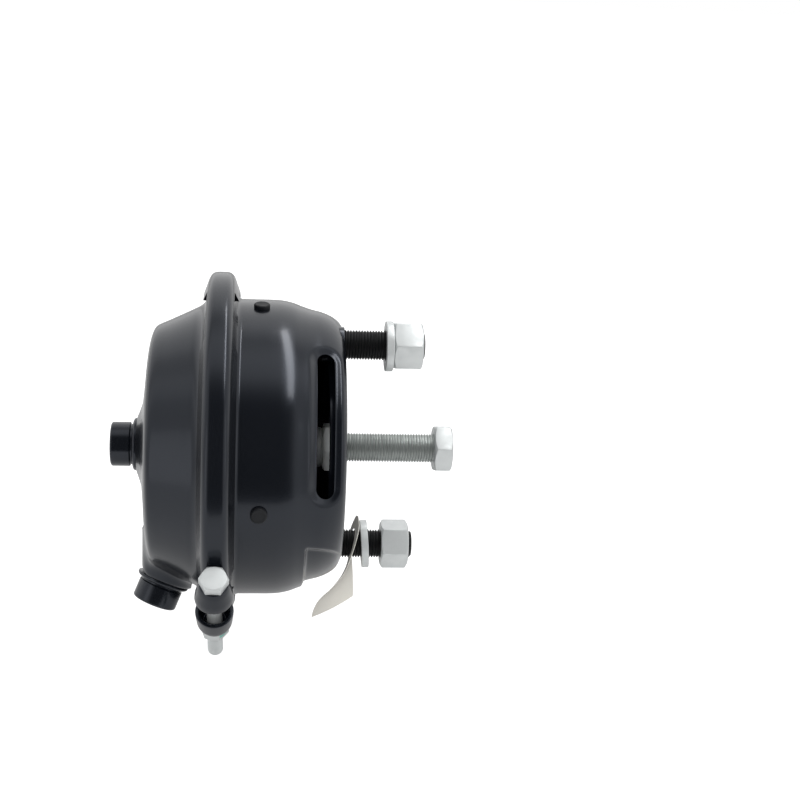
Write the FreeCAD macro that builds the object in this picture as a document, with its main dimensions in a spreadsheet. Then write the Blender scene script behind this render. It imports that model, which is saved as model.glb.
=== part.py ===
import FreeCAD, Part
import math
import os
import Sketcher

doc = FreeCAD.newDocument("brake_chamber")

# Driving sizes in mm, measured from the mounting face along the push rod
SIZES = {
    "body_radius": 80.0,
    "wall": 3.0,
    "face_radius": 65.0,
    "face_opening": 16.5,
    "ring_setback": 65.0,
    "crown_radius": 94.4,
    "leg_radius": 84.0,
    "end_setback": 109.4,
    "clamped_radius": 91.0,
    "boss_radius": 12.0,
    "boss_reach": 14.0,
    "port_radius": 7.25,
    "stud_half_span": 60.325,
    "stud_collar": 8.15,
    "stud_thread": 7.97,
    "stud_reach": 43.0,
    "nut_flats": 24.0,
    "nut_height": 15.5,
    "washer_outer": 13.5,
    "washer_bore": 8.5,
    "washer_height": 4.0,
    "sleeve_radius": 11.0,
    "screw_radius": 8.0,
    "screw_reach": 51.8,
    "screw_head": 10.0,
    "plate_radius": 45.0,
    "spring_radius": 36.0,
    "spring_wire": 2.5,
    "joint_radius": 100.5,
    "joint_bolt": 4.0,
    "joint_flats": 13.0,
    "joint_length": 67.6,
    "cup_gap": 9.5,
    "cup_head_seat": 23.1,
    "cup_nut_seat": 16.0,
    "nut_cup_gap": 3.5,
    "plug_radius": 4.2,
    "plug_stem": 3.2,
    "plug_setback": 43.8,
    "lock_nut_setback": 9.6,
    "window_start": 15.5,
    "window_radius": 4.6,
    "window_half": 32.7,
    "pocket_distance": 62.5,
    "pocket_start": 20.0,
    "pocket_depth": 2.5,
}
JOINT_ANGLE = -28.5
WINDOW_ANGLE = 35.0
POCKET_ANGLE = -52.0
RELIEF_ANGLES = (73.0, -133.0)
PORT_ANGLE = -68.0
PORT_TILT = 22.0

sheet = doc.addObject("Spreadsheet::Sheet", "Sizes")
for row, (alias, value) in enumerate(SIZES.items(), start=1):
    sheet.set(f"A{row}", alias)
    sheet.set(f"B{row}", str(value))
    sheet.setAlias(f"B{row}", alias)
doc.recompute()


def outward(angle):
    """The unit vector across the axis at an angle, 0 towards -Y and 90 towards +Z."""
    turn = math.radians(angle)
    return FreeCAD.Vector(0, -math.cos(turn), math.sin(turn))


def onward(angle):
    """The unit vector round the axis at an angle, towards larger angles."""
    turn = math.radians(angle)
    return FreeCAD.Vector(0, math.sin(turn), math.cos(turn))


def along(direction, point=FreeCAD.Vector(0, 0, 0)):
    """A placement that turns +Z to the direction and moves to the point."""
    return FreeCAD.Placement(point, FreeCAD.Rotation(FreeCAD.Vector(0, 0, 1), direction))


ALONG_X = FreeCAD.Vector(1, 0, 0)


def size_of(term):
    """The number that a profile term stands for: a number, or (alias, sign, offset)."""
    if isinstance(term, tuple):
        alias, sign, offset = term
        return sign * SIZES[alias] + offset
    return term


def bind(thing, path, term):
    """Bind one property or constraint to the spreadsheet where the term names a size."""
    if isinstance(term, tuple):
        alias, sign, offset = term
        thing.setExpression(path, f"{sign} * Sizes.{alias} + {offset}")


def origin_plane(body, role):
    return [f for f in body.Origin.OriginFeatures if f.Role == role][0]


def turned(name, points):
    """A PartDesign body turned about X from a closed profile of (x, radius) points."""
    body = doc.addObject("PartDesign::Body", name)
    sketch = body.newObject("Sketcher::SketchObject", name + "_profile")
    sketch.AttachmentSupport = (origin_plane(body, "XZ_Plane"), [""])
    sketch.MapMode = "FlatFace"
    spots = [FreeCAD.Vector(size_of(x), size_of(r), 0) for x, r in points]
    lines = []
    for here, there in zip(spots, spots[1:] + spots[:1]):
        lines.append(sketch.addGeometry(Part.LineSegment(here, there), False))
    for first, second in zip(lines, lines[1:] + lines[:1]):
        sketch.addConstraint(Sketcher.Constraint("Coincident", first, 2, second, 1))
    for line, (x, r) in zip(lines, points):
        for kind, term in (("DistanceX", x), ("DistanceY", r)):
            value = size_of(term)
            if abs(value) < 1e-9:
                other = -2 if kind == "DistanceX" else -1
                sketch.addConstraint(Sketcher.Constraint("PointOnObject", line, 1, other))
                continue
            index = sketch.addConstraint(Sketcher.Constraint(kind, -1, 1, line, 1, value))
            bind(sketch, f"Constraints[{index}]", term)
    doc.recompute()
    spin = body.newObject("PartDesign::Revolution", name + "_turn")
    spin.Profile = sketch
    spin.ReferenceAxis = (sketch, ["H_Axis"])
    spin.Angle = 360
    doc.recompute()
    return body


def rod(name, radius, length, direction, point):
    """A cylinder that starts at the point and runs along the direction."""
    thing = doc.addObject("Part::Cylinder", name)
    thing.Radius = size_of(radius)
    thing.Height = size_of(length)
    bind(thing, "Radius", radius)
    bind(thing, "Height", length)
    thing.Placement = along(direction, point)
    return thing


def cone(name, first, second, length, direction, point):
    thing = doc.addObject("Part::Cone", name)
    thing.Radius1 = first
    thing.Radius2 = second
    thing.Height = length
    thing.Placement = along(direction, point)
    return thing


def block(name, sides, rotation, corner):
    """A box whose local corner sits at corner after the rotation."""
    thing = doc.addObject("Part::Box", name)
    thing.Length, thing.Width, thing.Height = sides
    thing.Placement = FreeCAD.Placement(rotation.multVec(corner), rotation)
    return thing


def fuse(name, things):
    joined = doc.addObject("Part::MultiFuse", name)
    joined.Shapes = things
    doc.recompute()
    return joined


def cut(name, base, tools):
    """The base with every tool taken out of it."""
    if len(tools) > 1:
        tool = fuse(name + "_tools", tools)
    else:
        tool = tools[0]
    result = doc.addObject("Part::Cut", name)
    result.Base = base
    result.Tool = tool
    doc.recompute()
    return result


def common(name, first, second):
    result = doc.addObject("Part::Common", name)
    result.Base = first
    result.Tool = second
    doc.recompute()
    return result


def hexagon(name, flats, height, point, direction, bore, spin=0.0, ends="both"):
    """A hex prism along the direction with its corners turned off, and a bore when asked."""
    across = size_of(flats)
    tall = size_of(height)
    prism = doc.addObject("Part::Prism", name + "_hex")
    prism.Polygon = 6
    prism.Circumradius = across / math.sqrt(3)
    prism.Height = tall
    bind(prism, "Height", height)
    if isinstance(flats, tuple):
        prism.setExpression("Circumradius", f"Sizes.{flats[0]} / sqrt(3)")
    turn = FreeCAD.Rotation(FreeCAD.Vector(0, 0, 1), direction)
    prism.Placement = FreeCAD.Placement(point, turn * FreeCAD.Rotation(FreeCAD.Vector(0, 0, 1), spin))
    corner = across / math.sqrt(3)
    drop = (corner - across / 2 * 0.97) * 0.577
    rise = tall * 0.5
    spread = rise / 0.577
    limits = []
    low = cone(name + "_low", across / 2 * 0.97, across / 2 * 0.97 + spread, rise, direction, point)
    top_point = point + direction * tall
    high = cone(name + "_high", across / 2 * 0.97, across / 2 * 0.97 + spread, rise, -direction, top_point)
    if ends == "both":
        limits = [low, high]
    elif ends == "top":
        doc.removeObject(low.Name)
        limits = [rod(name + "_low", across, rise, direction, point), high]
    shaped = common(name + "_shaped", prism, fuse(name + "_limit", limits))
    if not bore:
        return shaped
    hole = rod(name + "_bore", bore, tall + 2, direction, point - direction)
    return cut(name, shaped, [hole])


nodes = {}

# Clamp channel lines, as the half width of the inner leg face at a radius
SLOPE = 3.1 / 8.6


def leg(radius):
    return 7.4 - SLOPE * (radius - 84.0)


# Housing on the mounting side
outer_profile = [
    (("ring_setback", -1, 1.6), 0.0),
    (("ring_setback", -1, 1.6), ("clamped_radius", 1, 0)),
    (("ring_setback", -1, leg(91.0)), ("clamped_radius", 1, 0)),
    (("ring_setback", -1, leg(85.0)), ("leg_radius", 1, 1.0)),
    (("ring_setback", -1, leg(83.9)), ("leg_radius", 1, -0.1)),
    (("ring_setback", -1, 8.3), ("body_radius", 1, 2.2)),
    (("ring_setback", -1, 9.4), ("body_radius", 1, 0.7)),
    (("ring_setback", -1, 10.8), ("body_radius", 1, 0)),
    (-38.0, ("body_radius", 1, 0)),
    (-32.5, ("body_radius", 1, -0.3)),
    (-27.0, ("body_radius", 1, -1.4)),
    (-22.0, ("body_radius", 1, -3.2)),
    (-17.0, ("body_radius", 1, -4.8)),
    (-12.0, ("body_radius", 1, -6.0)),
    (-8.5, ("face_radius", 1, 7.8)),
    (-5.4, ("face_radius", 1, 6.3)),
    (-3.0, ("face_radius", 1, 4.6)),
    (-1.4, ("face_radius", 1, 2.9)),
    (-0.4, ("face_radius", 1, 1.2)),
    (0.0, ("face_radius", 1, 0)),
    (0.0, 0.0),
]
inner_profile = [
    (("ring_setback", -1, -8.0), 0.0),
    (("ring_setback", -1, -8.0), ("body_radius", 1, -3)),
    (-38.2, ("body_radius", 1, -3)),
    (-33.0, ("body_radius", 1, -3.3)),
    (-27.8, ("body_radius", 1, -4.3)),
    (-23.0, ("body_radius", 1, -6.0)),
    (-17.8, ("body_radius", 1, -7.7)),
    (-12.8, ("body_radius", 1, -8.9)),
    (-9.6, ("face_radius", 1, 5.0)),
    (-7.0, ("face_radius", 1, 3.7)),
    (-5.0, ("face_radius", 1, 2.2)),
    (-3.8, ("face_radius", 1, 0.6)),
    (("wall", -1, 0), ("face_radius", 1, -1.2)),
    (("wall", -1, 0), 0.0),
]
shell_outer = turned("shell_outer", outer_profile)
shell_inner = turned("shell_inner", inner_profile)


def facing(angle):
    """The rotation that keeps X and turns Y outwards at an angle."""
    return FreeCAD.Rotation(FreeCAD.Vector(1, 0, 0), outward(angle), FreeCAD.Vector(0, 0, 0), "XYZ")


def lowered(profile, depth):
    """The same profile with every radius made smaller by a depth."""
    lower = []
    for x, r in profile:
        if isinstance(r, tuple):
            lower.append((x, (r[0], r[1], r[2] - depth)))
        else:
            lower.append((x, r))
    return lower


def pocket(name, profile, inset):
    """What a shallow pocket takes out of a turned wall: a block outside its floor."""
    start = SIZES["pocket_start"] + inset
    corner = FreeCAD.Vector(-start, SIZES["pocket_distance"] - inset, -75.0)
    outside = block(name + "_block", (start + 5.0, 40.0, 150.0), facing(POCKET_ANGLE), corner)
    outside.setExpression("Length", f"Sizes.pocket_start + {inset + 5.0}")
    floor = turned(name + "_floor", lowered(profile, SIZES["pocket_depth"]))
    return cut(name, outside, [floor])


shaped_outer = cut("shaped_outer", shell_outer, [pocket("outer_pocket", outer_profile, 0.0)])
shaped_inner = cut("shaped_inner", shell_inner, [pocket("inner_pocket", inner_profile, SIZES["wall"])])

stud_spots = {
    "upper": FreeCAD.Vector(0, 0, SIZES["stud_half_span"]),
    "lower": FreeCAD.Vector(0, 0, -SIZES["stud_half_span"]),
}
pads = [
    rod(f"{name}_pad", 9.5, 12.0, ALONG_X, spot + FreeCAD.Vector(-12.0, 0, 0))
    for name, spot in stud_spots.items()
]
hollow = cut("hollow_shell", shaped_outer, [shaped_inner])
padded = fuse("padded_shell", [hollow] + pads)
cutters = [rod("face_hole", ("face_opening", 1, 0), 10.0, ALONG_X, FreeCAD.Vector(-5, 0, 0))]
for name, spot in stud_spots.items():
    start = spot + FreeCAD.Vector(-14.0, 0, 0)
    cutters.append(rod(f"{name}_stud_hole", ("stud_thread", 1, 0.03), 20.0, ALONG_X, start))
    mouth = spot + FreeCAD.Vector(-1.0, 0, 0)
    cutters.append(rod(f"{name}_stud_mouth", ("stud_collar", 1, 0.1), 5.0, ALONG_X, mouth))
window_turn = facing(WINDOW_ANGLE)
window_half = SIZES["window_half"]
window_middle = SIZES["window_radius"] - SIZES["window_start"]
window_corner = FreeCAD.Vector(-SIZES["window_start"], 45.0, -window_half)
window_sides = (2 * SIZES["window_radius"], 60.0, 2 * window_half)
cutters.append(block("window_middle", window_sides, window_turn, window_corner))
for end, shift in enumerate((-window_half, window_half)):
    middle = window_turn.multVec(FreeCAD.Vector(window_middle, 45.0, shift))
    cutters.append(rod(f"window_end_{end}", ("window_radius", 1, 0), 60.0, outward(WINDOW_ANGLE), middle))
for index, angle in enumerate((90.0, 0.0, -90.0, 180.0)):
    start = outward(angle) * 70.0 + FreeCAD.Vector(-SIZES["plug_setback"], 0, 0)
    cutters.append(rod(f"plug_hole_{index}", ("plug_stem", 1, 0), 20.0, outward(angle), start))
nodes["non_pressure_housing"] = cut("non_pressure_housing", padded, cutters)

# Housing on the air side, with the raised seat for the lower port
cap_outer = turned(
    "cap_outer",
    [
        (("end_setback", -1, 0), 0.0),
        (("end_setback", -1, 0), 15.0),
        (("end_setback", -1, 0.8), 17.5),
        (("end_setback", -1, 2.9), 24.0),
        (("end_setback", -1, 4.0), 31.0),
        (("end_setback", -1, 5.0), 39.0),
        (("end_setback", -1, 6.1), 48.0),
        (("end_setback", -1, 7.0), 57.0),
        (("end_setback", -1, 7.9), 61.0),
        (("end_setback", -1, 9.2), 63.8),
        (("end_setback", -1, 11.2), 65.4),
        (-92.3, 68.1),
        (-84.3, 71.9),
        (-79.5, 74.3),
        (("ring_setback", -1, -11.6), 75.8),
        (("ring_setback", -1, -9.2), 78.0),
        (("ring_setback", -1, -7.9), 80.8),
        (("ring_setback", -1, -leg(83.2)), ("leg_radius", 1, -0.8)),
        (("ring_setback", -1, -leg(84.0)), ("leg_radius", 1, 0)),
        (("ring_setback", -1, -leg(91.0)), ("clamped_radius", 1, 0)),
        (("ring_setback", -1, -1.6), ("clamped_radius", 1, 0)),
        (("ring_setback", -1, -1.6), 0.0),
    ],
)
cap_inner = turned(
    "cap_inner",
    [
        (("end_setback", -1, 3.0), 0.0),
        (("end_setback", -1, 3.0), 14.0),
        (("end_setback", -1, 3.8), 16.6),
        (("end_setback", -1, 6.0), 23.6),
        (("end_setback", -1, 7.0), 31.0),
        (("end_setback", -1, 8.0), 39.0),
        (("end_setback", -1, 9.1), 48.0),
        (("end_setback", -1, 9.9), 56.6),
        (("end_setback", -1, 10.6), 59.4),
        (("end_setback", -1, 11.6), 61.4),
        (("end_setback", -1, 13.0), 62.6),
        (-92.3, 64.8),
        (-84.3, 68.6),
        (-79.5, 71.0),
        (("ring_setback", -1, -10.2), 73.1),
        (("ring_setback", -1, -6.8), 75.8),
        (("ring_setback", -1, -4.9), 79.2),
        (("ring_setback", -1, -1.6), 80.6),
        (("ring_setback", -1, 4.0), 80.6),
        (("ring_setback", -1, 4.0), 0.0),
    ],
)
tilt = math.radians(PORT_TILT)
port_axis = outward(PORT_ANGLE) * math.cos(tilt) + FreeCAD.Vector(-math.sin(tilt), 0, 0)
port_seat = outward(PORT_ANGLE) * 73.0 + FreeCAD.Vector(-94.2, 0, 0)
seat_outer = cone("seat_outer", 25.0, 15.5, 22.0, port_axis, port_seat - port_axis * 22.0)
seat_inner = cone("seat_inner", 22.0, 12.5, 22.0, port_axis, port_seat - port_axis * 25.0)
end_plane = block(
    "beyond_end",
    (60.0, 300.0, 300.0),
    FreeCAD.Rotation(),
    FreeCAD.Vector(-SIZES["end_setback"] - 57.0, -150.0, -150.0),
)
beyond_inner = block(
    "beyond_inner",
    (60.0, 300.0, 300.0),
    FreeCAD.Rotation(),
    FreeCAD.Vector(-SIZES["end_setback"] - 54.0, -150.0, -150.0),
)
seat_kept = cut("seat_kept", seat_outer, [end_plane])
seat_hollow = cut("seat_hollow", seat_inner, [beyond_inner])
cap_solid = fuse("cap_solid", [cap_outer, seat_kept])
port_hole = rod("port_hole", ("port_radius", 1, 0), 40.0, port_axis, port_seat - port_axis * 20.0)
end_hole = rod("end_hole", ("port_radius", 1, 0), 20.0, ALONG_X, FreeCAD.Vector(-120.0, 0, 0))
nodes["pressure_housing"] = cut("pressure_housing", cap_solid, [cap_inner, seat_hollow, port_hole, end_hole])


def boss(name, direction, point):
    """A round port boss with a thin flange and a turned groove, bored through."""
    groove_start = 2.2
    flange = rod(name + "_flange", ("boss_radius", 1, 2.3), 2.2, direction, point)
    groove = rod(name + "_groove", ("boss_radius", 1, -1.0), 1.4, direction, point + direction * groove_start)
    drum = rod(name + "_drum", ("boss_radius", 1, 0), ("boss_reach", 1, -4.4), direction, point + direction * 3.6)
    nose_spot = point + direction * (SIZES["boss_reach"] - 0.8)
    nose = cone(name + "_nose", SIZES["boss_radius"], SIZES["boss_radius"] - 0.8, 0.8, direction, nose_spot)
    body = fuse(name + "_solid", [flange, groove, drum, nose])
    bore = rod(name + "_bore", ("port_radius", 1, 0), ("boss_reach", 1, 2.0), direction, point - direction)
    return cut(name, body, [bore])


nodes["axial_port_boss"] = boss("axial_port_boss", -ALONG_X, FreeCAD.Vector(-SIZES["end_setback"], 0, 0))
nodes["lower_port_boss"] = boss("lower_port_boss", port_axis, port_seat)

# Clamp ring: a channel, its split, its reliefs and its two bolt cups
half_crown = [(9.4, -10.4), (7.4, -4.8), (6.8, -3.2), (5.9, -1.7), (4.6, -0.6), (3.0, -0.1)]
channel = []
for half, drop in half_crown:
    channel.append((("ring_setback", -1, -half), ("crown_radius", 1, drop)))
channel.append((("ring_setback", -1, 0.0), ("crown_radius", 1, 0)))
for half, drop in reversed(half_crown):
    channel.append((("ring_setback", -1, half), ("crown_radius", 1, drop)))
channel += [
    (("ring_setback", -1, leg(84.0)), ("leg_radius", 1, 0)),
    (("ring_setback", -1, leg(91.0)), ("clamped_radius", 1, 0)),
    (("ring_setback", -1, leg(91.8)), ("clamped_radius", 1, 0.8)),
    (("ring_setback", -1, 3.2), ("crown_radius", 1, -2.1)),
    (("ring_setback", -1, -3.2), ("crown_radius", 1, -2.1)),
    (("ring_setback", -1, -leg(91.8)), ("clamped_radius", 1, 0.8)),
    (("ring_setback", -1, -leg(91.0)), ("clamped_radius", 1, 0)),
    (("ring_setback", -1, -leg(84.0)), ("leg_radius", 1, 0)),
]
ring_body = turned("ring_channel", channel)
centre = FreeCAD.Vector(-SIZES["ring_setback"], 0, 0)
joint_out = outward(JOINT_ANGLE)
joint_on = onward(JOINT_ANGLE)
joint_spot = centre + joint_out * SIZES["joint_radius"]
joint_turn = facing(JOINT_ANGLE)
cups = []
hollows = []
gap = SIZES["cup_gap"]
cup_gaps = (gap, SIZES["nut_cup_gap"])
cup_seats = (SIZES["cup_head_seat"], SIZES["cup_nut_seat"])
for index, (way, seat) in enumerate(zip((joint_on, -joint_on), cup_seats)):
    length = seat - cup_gaps[index]
    start = joint_spot + way * cup_gaps[index]
    far = (7.0, 8.0)[index]
    cups.append(cone(f"cup_{index}", 9.6, far, length, way, start))
    hollows.append(cone(f"cup_hollow_{index}", 7.6, far - 1.8, length - 2.6, way, start))
    hollows.append(rod(f"cup_hole_{index}", ("joint_bolt", 1, 0.3), length + 2, way, start))
below = rod("under_crown", ("crown_radius", 1, -2.1), 60.0, ALONG_X, centre - ALONG_X * 30)
split_corner = FreeCAD.Vector(-SIZES["ring_setback"] - 20.0, 70.0, -gap)
split = block("ring_split", (40.0, 40.0, 2 * gap), joint_turn, split_corner)
reliefs = []
for index, angle in enumerate(RELIEF_ANGLES):
    turn = facing(angle)
    for side, start in enumerate((-SIZES["ring_setback"] - 26.5, -SIZES["ring_setback"] + 6.5)):
        corner = FreeCAD.Vector(start, 60.0, -21.0)
        reliefs.append(block(f"relief_{index}_{side}", (20.0, 40.0, 42.0), turn, corner))
cup_blank = cut("cup_blank", fuse("cups", cups), [below])
ring_blank = cut("ring_blank", ring_body, reliefs + [split])
ring_joined = fuse("ring_joined", [ring_blank, cup_blank])
nodes["clamp_ring"] = cut("clamp_ring", ring_joined, hollows)

# Clamp bolt and nut
seat_spot = joint_spot + joint_on * SIZES["cup_head_seat"]
head = hexagon("clamp_head", ("joint_flats", 1, 0), 5.3, seat_spot, joint_on, None, spin=0.0, ends="top")
shank = rod("clamp_shank", ("joint_bolt", 1, 0), ("joint_length", 1, -0.8), -joint_on, seat_spot)
tip_spot = seat_spot - joint_on * (SIZES["joint_length"] - 0.8)
tip = cone("clamp_tip", SIZES["joint_bolt"], SIZES["joint_bolt"] - 0.7, 0.8, -joint_on, tip_spot)
nodes["clamp_bolt"] = fuse("clamp_bolt", [head, shank, tip])
nut_spot = joint_spot - joint_on * (SIZES["cup_nut_seat"] + 7.0)
nodes["clamp_nut"] = hexagon("clamp_nut", ("joint_flats", 1, 0), 7.0, nut_spot, joint_on, ("joint_bolt", 1, 0.03), spin=12.0)

# Diaphragm
nodes["diaphragm"] = turned(
    "diaphragm",
    [
        (-99.6, 0.0),
        (-99.6, 45.0),
        (-99.2, 50.0),
        (-98.4, 54.5),
        (-97.5, 58.0),
        (-96.2, 60.7),
        (-92.3, 63.6),
        (-79.5, 70.0),
        (("ring_setback", -1, -10.0), 72.2),
        (("ring_setback", -1, -6.1), 75.2),
        (("ring_setback", -1, -4.0), 78.2),
        (("ring_setback", -1, -1.6), 79.6),
        (("ring_setback", -1, -1.6), ("clamped_radius", 1, 0)),
        (("ring_setback", -1, 1.6), ("clamped_radius", 1, 0)),
        (("ring_setback", -1, 1.6), 79.8),
        (("ring_setback", -1, -1.2), 75.2),
        (("ring_setback", -1, -4.5), 72.0),
        (("ring_setback", -1, -10.0), 69.2),
        (-90.8, 61.3),
        (-93.8, 59.2),
        (-95.0, 56.4),
        (-95.9, 52.6),
        (-96.8, 45.0),
        (-96.8, 0.0),
    ],
)

# Push plate, sleeve and lock nut
nodes["push_plate"] = turned(
    "push_plate",
    [
        (-96.4, 0.0),
        (-96.4, ("plate_radius", 1, -4.0)),
        (-95.2, ("plate_radius", 1, -1.2)),
        (-92.8, ("plate_radius", 1, 0)),
        (-91.2, ("plate_radius", 1, 0)),
        (-92.4, ("plate_radius", 1, -3.6)),
        (-93.4, ("plate_radius", 1, -5.2)),
        (-93.4, 0.0),
    ],
)
sleeve_blank = turned(
    "sleeve_blank",
    [
        (-93.4, 0.0),
        (-93.4, 17.0),
        (-91.4, 17.0),
        (-86.8, ("sleeve_radius", 1, 0.6)),
        (-83.8, ("sleeve_radius", 1, 0)),
        (("lock_nut_setback", -1, -1.2), ("sleeve_radius", 1, 0)),
        (("lock_nut_setback", -1, 0), ("sleeve_radius", 1, -1.2)),
        (("lock_nut_setback", -1, 0), 0.0),
    ],
)
sleeve_bore = rod("sleeve_bore", ("screw_radius", 1, 0.06), ("lock_nut_setback", -1, 74.0), ALONG_X, FreeCAD.Vector(-72.0, 0, 0))
nodes["push_rod"] = cut("push_rod", sleeve_blank, [sleeve_bore])
nodes["lock_nut"] = hexagon(
    "lock_nut",
    ("nut_flats", 1, 0),
    8.0,
    FreeCAD.Vector(-SIZES["lock_nut_setback"], 0, 0),
    ALONG_X,
    ("screw_radius", 1, 0.06),
    spin=18.0,
)

# Adjusting bolt
screw_head = hexagon(
    "screw_head_blank",
    ("nut_flats", 1, 0),
    ("screw_head", 1, 0),
    FreeCAD.Vector(SIZES["screw_reach"], 0, 0),
    ALONG_X,
    None,
    spin=22.0,
)
screw_shank = turned(
    "screw_shank",
    [
        (-66.0, 0.0),
        (-66.0, ("screw_radius", 1, -1.2)),
        (-64.8, ("screw_radius", 1, 0)),
        (("screw_reach", 1, 0.5), ("screw_radius", 1, 0)),
        (("screw_reach", 1, 0.5), 0.0),
    ],
)
nodes["adjusting_bolt"] = fuse("adjusting_bolt", [screw_head, screw_shank])

# Return spring between the push plate and its seat
spring_start = -93.4 + SIZES["spring_wire"] + 0.05
spring_end = -6.0 - SIZES["spring_wire"] - 0.05
helix = doc.addObject("Part::Helix", "spring_path")
helix.Pitch = (spring_end - spring_start) / 4.5
helix.Height = spring_end - spring_start
helix.Radius = SIZES["spring_radius"]
helix.setExpression("Radius", "Sizes.spring_radius")
helix.Placement = along(ALONG_X, FreeCAD.Vector(spring_start, 0, 0))
doc.recompute()
edge = helix.Shape.Edges[0]
first_point = edge.valueAt(edge.FirstParameter)
first_way = edge.tangentAt(edge.FirstParameter)
section = doc.addObject("Part::Feature", "spring_section")
circle = Part.Circle(first_point, first_way, SIZES["spring_wire"])
quarter = math.pi / 2
section.Shape = Part.Wire([circle.toShape(quarter * k, quarter * (k + 1)) for k in range(4)])
sweep = doc.addObject("Part::Sweep", "return_spring")
sweep.Sections = [section]
sweep.Spine = (helix, [])
sweep.Solid = True
sweep.Frenet = True
doc.recompute()
nodes["return_spring"] = sweep
nodes["spring_seat"] = turned(
    "spring_seat",
    [
        (-6.0, ("face_opening", 1, 0.5)),
        (-6.0, 45.0),
        (-8.0, 46.6),
        (-8.0, 48.4),
        (-5.0, 48.4),
        (-3.0, 46.6),
        (-3.0, ("face_opening", 1, 0.5)),
    ],
)

# Mounting studs with their nuts and washers
for name, spot in stud_spots.items():
    blank = [
        rod(f"{name}_head", 9.0, 3.0, ALONG_X, spot + FreeCAD.Vector(-15.0, 0, 0)),
        rod(f"{name}_neck", ("stud_thread", 1, 0), 12.0, ALONG_X, spot + FreeCAD.Vector(-12.0, 0, 0)),
        rod(f"{name}_collar", ("stud_collar", 1, 0), 2.4, ALONG_X, spot),
        rod(f"{name}_run", ("stud_thread", 1, 0), ("stud_reach", 1, -3.6), ALONG_X, spot + ALONG_X * 2.4),
        cone(
            f"{name}_tip",
            SIZES["stud_thread"],
            SIZES["stud_thread"] - 1.2,
            1.2,
            ALONG_X,
            spot + FreeCAD.Vector(SIZES["stud_reach"] - 1.2, 0, 0),
        ),
    ]
    nodes[f"{name}_stud"] = fuse(f"{name}_stud", blank)

NUT_STARTS = {"upper": 26.3, "lower": 25.4}
NUT_SPINS = {"upper": 19.0, "lower": 3.0}
for name, spot in stud_spots.items():
    start = spot + FreeCAD.Vector(NUT_STARTS[name], 0, 0)
    nodes[f"{name}_nut"] = hexagon(
        f"{name}_nut",
        ("nut_flats", 1, 0),
        ("nut_height", 1, 0),
        start,
        ALONG_X,
        ("stud_thread", 1, 0.04),
        spin=NUT_SPINS[name],
    )
leaning = FreeCAD.Rotation(FreeCAD.Vector(0, 1, 0), -4.0).multVec(ALONG_X)
washer_places = {
    "upper": (ALONG_X, stud_spots["upper"] + FreeCAD.Vector(22.1, 0, -0.45)),
    "lower": (leaning, stud_spots["lower"] + FreeCAD.Vector(14.4, 0, -0.3)),
}
for name, (way, spot) in washer_places.items():
    disc = rod(f"{name}_washer_disc", ("washer_outer", 1, 0), ("washer_height", 1, 0), way, spot)
    hole = rod(f"{name}_washer_hole", ("washer_bore", 1, 0), 8.0, way, spot - way * 2.0)
    nodes[f"{name}_washer"] = cut(f"{name}_washer", disc, [hole])

# Plugs in the drain holes
for index, (name, angle) in enumerate((("top", 90.0), ("front", 0.0), ("bottom", -90.0), ("rear", 180.0))):
    way = outward(angle)
    base = FreeCAD.Vector(-SIZES["plug_setback"], 0, 0)
    stem = rod(f"{name}_plug_stem", ("plug_stem", 1, 0), 7.0, way, base + way * (SIZES["body_radius"] - 4.4))
    lip_spot = base + way * (SIZES["body_radius"] - 5.4)
    lip = cone(f"{name}_plug_lip", SIZES["plug_stem"], SIZES["plug_stem"] + 0.9, 1.2, way, lip_spot)
    cap = rod(f"{name}_plug_cap", ("plug_radius", 1, 0), 2.2, way, base + way * (SIZES["body_radius"] + 0.12))
    nodes[f"vent_plug_{name}"] = fuse(f"vent_plug_{name}", [stem, lip, cap])

# Paper tag hung on the lower stud, as a ruled sheet through thin sections
TAG = [
    ((12.8, 0.0, -45.6), (0.0, 1.0, 0.0), 5.0),
    ((11.8, 0.0, -49.0), (0.0, 1.0, 0.0), 10.5),
    ((9.0, -0.3, -60.3), (0.0, 1.0, 0.0), 12.5),
    ((7.6, -0.6, -72.0), (0.2, 0.98, 0.0), 12.8),
    ((5.0, -2.0, -81.0), (0.5, 0.86, 0.1), 12.9),
    ((1.9, -3.0, -90.5), (0.8, 0.55, 0.25), 13.0),
    ((0.0, -3.6, -101.0), (0.88, 0.12, 0.46), 13.4),
]
HALF_SHEET = 0.2
wires = []
for index, (middle, across, half) in enumerate(TAG):
    here = FreeCAD.Vector(*middle)
    side = FreeCAD.Vector(*across).normalize()
    before = FreeCAD.Vector(*TAG[max(index - 1, 0)][0])
    after = FreeCAD.Vector(*TAG[min(index + 1, len(TAG) - 1)][0])
    thick = side.cross(after - before).normalize() * HALF_SHEET
    corners = [
        here + side * half + thick,
        here - side * half + thick,
        here - side * half - thick,
        here + side * half - thick,
    ]
    wires.append(Part.makePolygon(corners + corners[:1]))
sheet_blank = doc.addObject("Part::Feature", "tag_blank")
sheet_blank.Shape = Part.makeLoft(wires, True, True)
tag_hole = rod("tag_hole", 8.9, 30.0, ALONG_X, FreeCAD.Vector(-6.0, 0, -60.6))
nodes["paper_tag"] = cut("paper_tag", sheet_blank, [tag_hole])

doc.recompute()

# Test every object, then write one file for each node
for thing in doc.Objects:
    if "Invalid" in thing.State or "Error" in thing.State:
        raise RuntimeError(f"{thing.Name} did not compute: {thing.State}")
os.makedirs("parts", exist_ok=True)
for name, thing in nodes.items():
    shape = thing.Shape
    if shape.isNull() or not shape.isValid():
        raise RuntimeError(f"{name} has no valid shape")
    if len(shape.Solids) != 1:
        raise RuntimeError(f"{name} has {len(shape.Solids)} solids")
    shape.exportStep(f"parts/{name}.step")
    print(f"{name} {shape.Volume:.1f} mm3")
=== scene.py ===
"""Air brake chamber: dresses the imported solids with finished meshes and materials, in a plain studio."""

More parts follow.
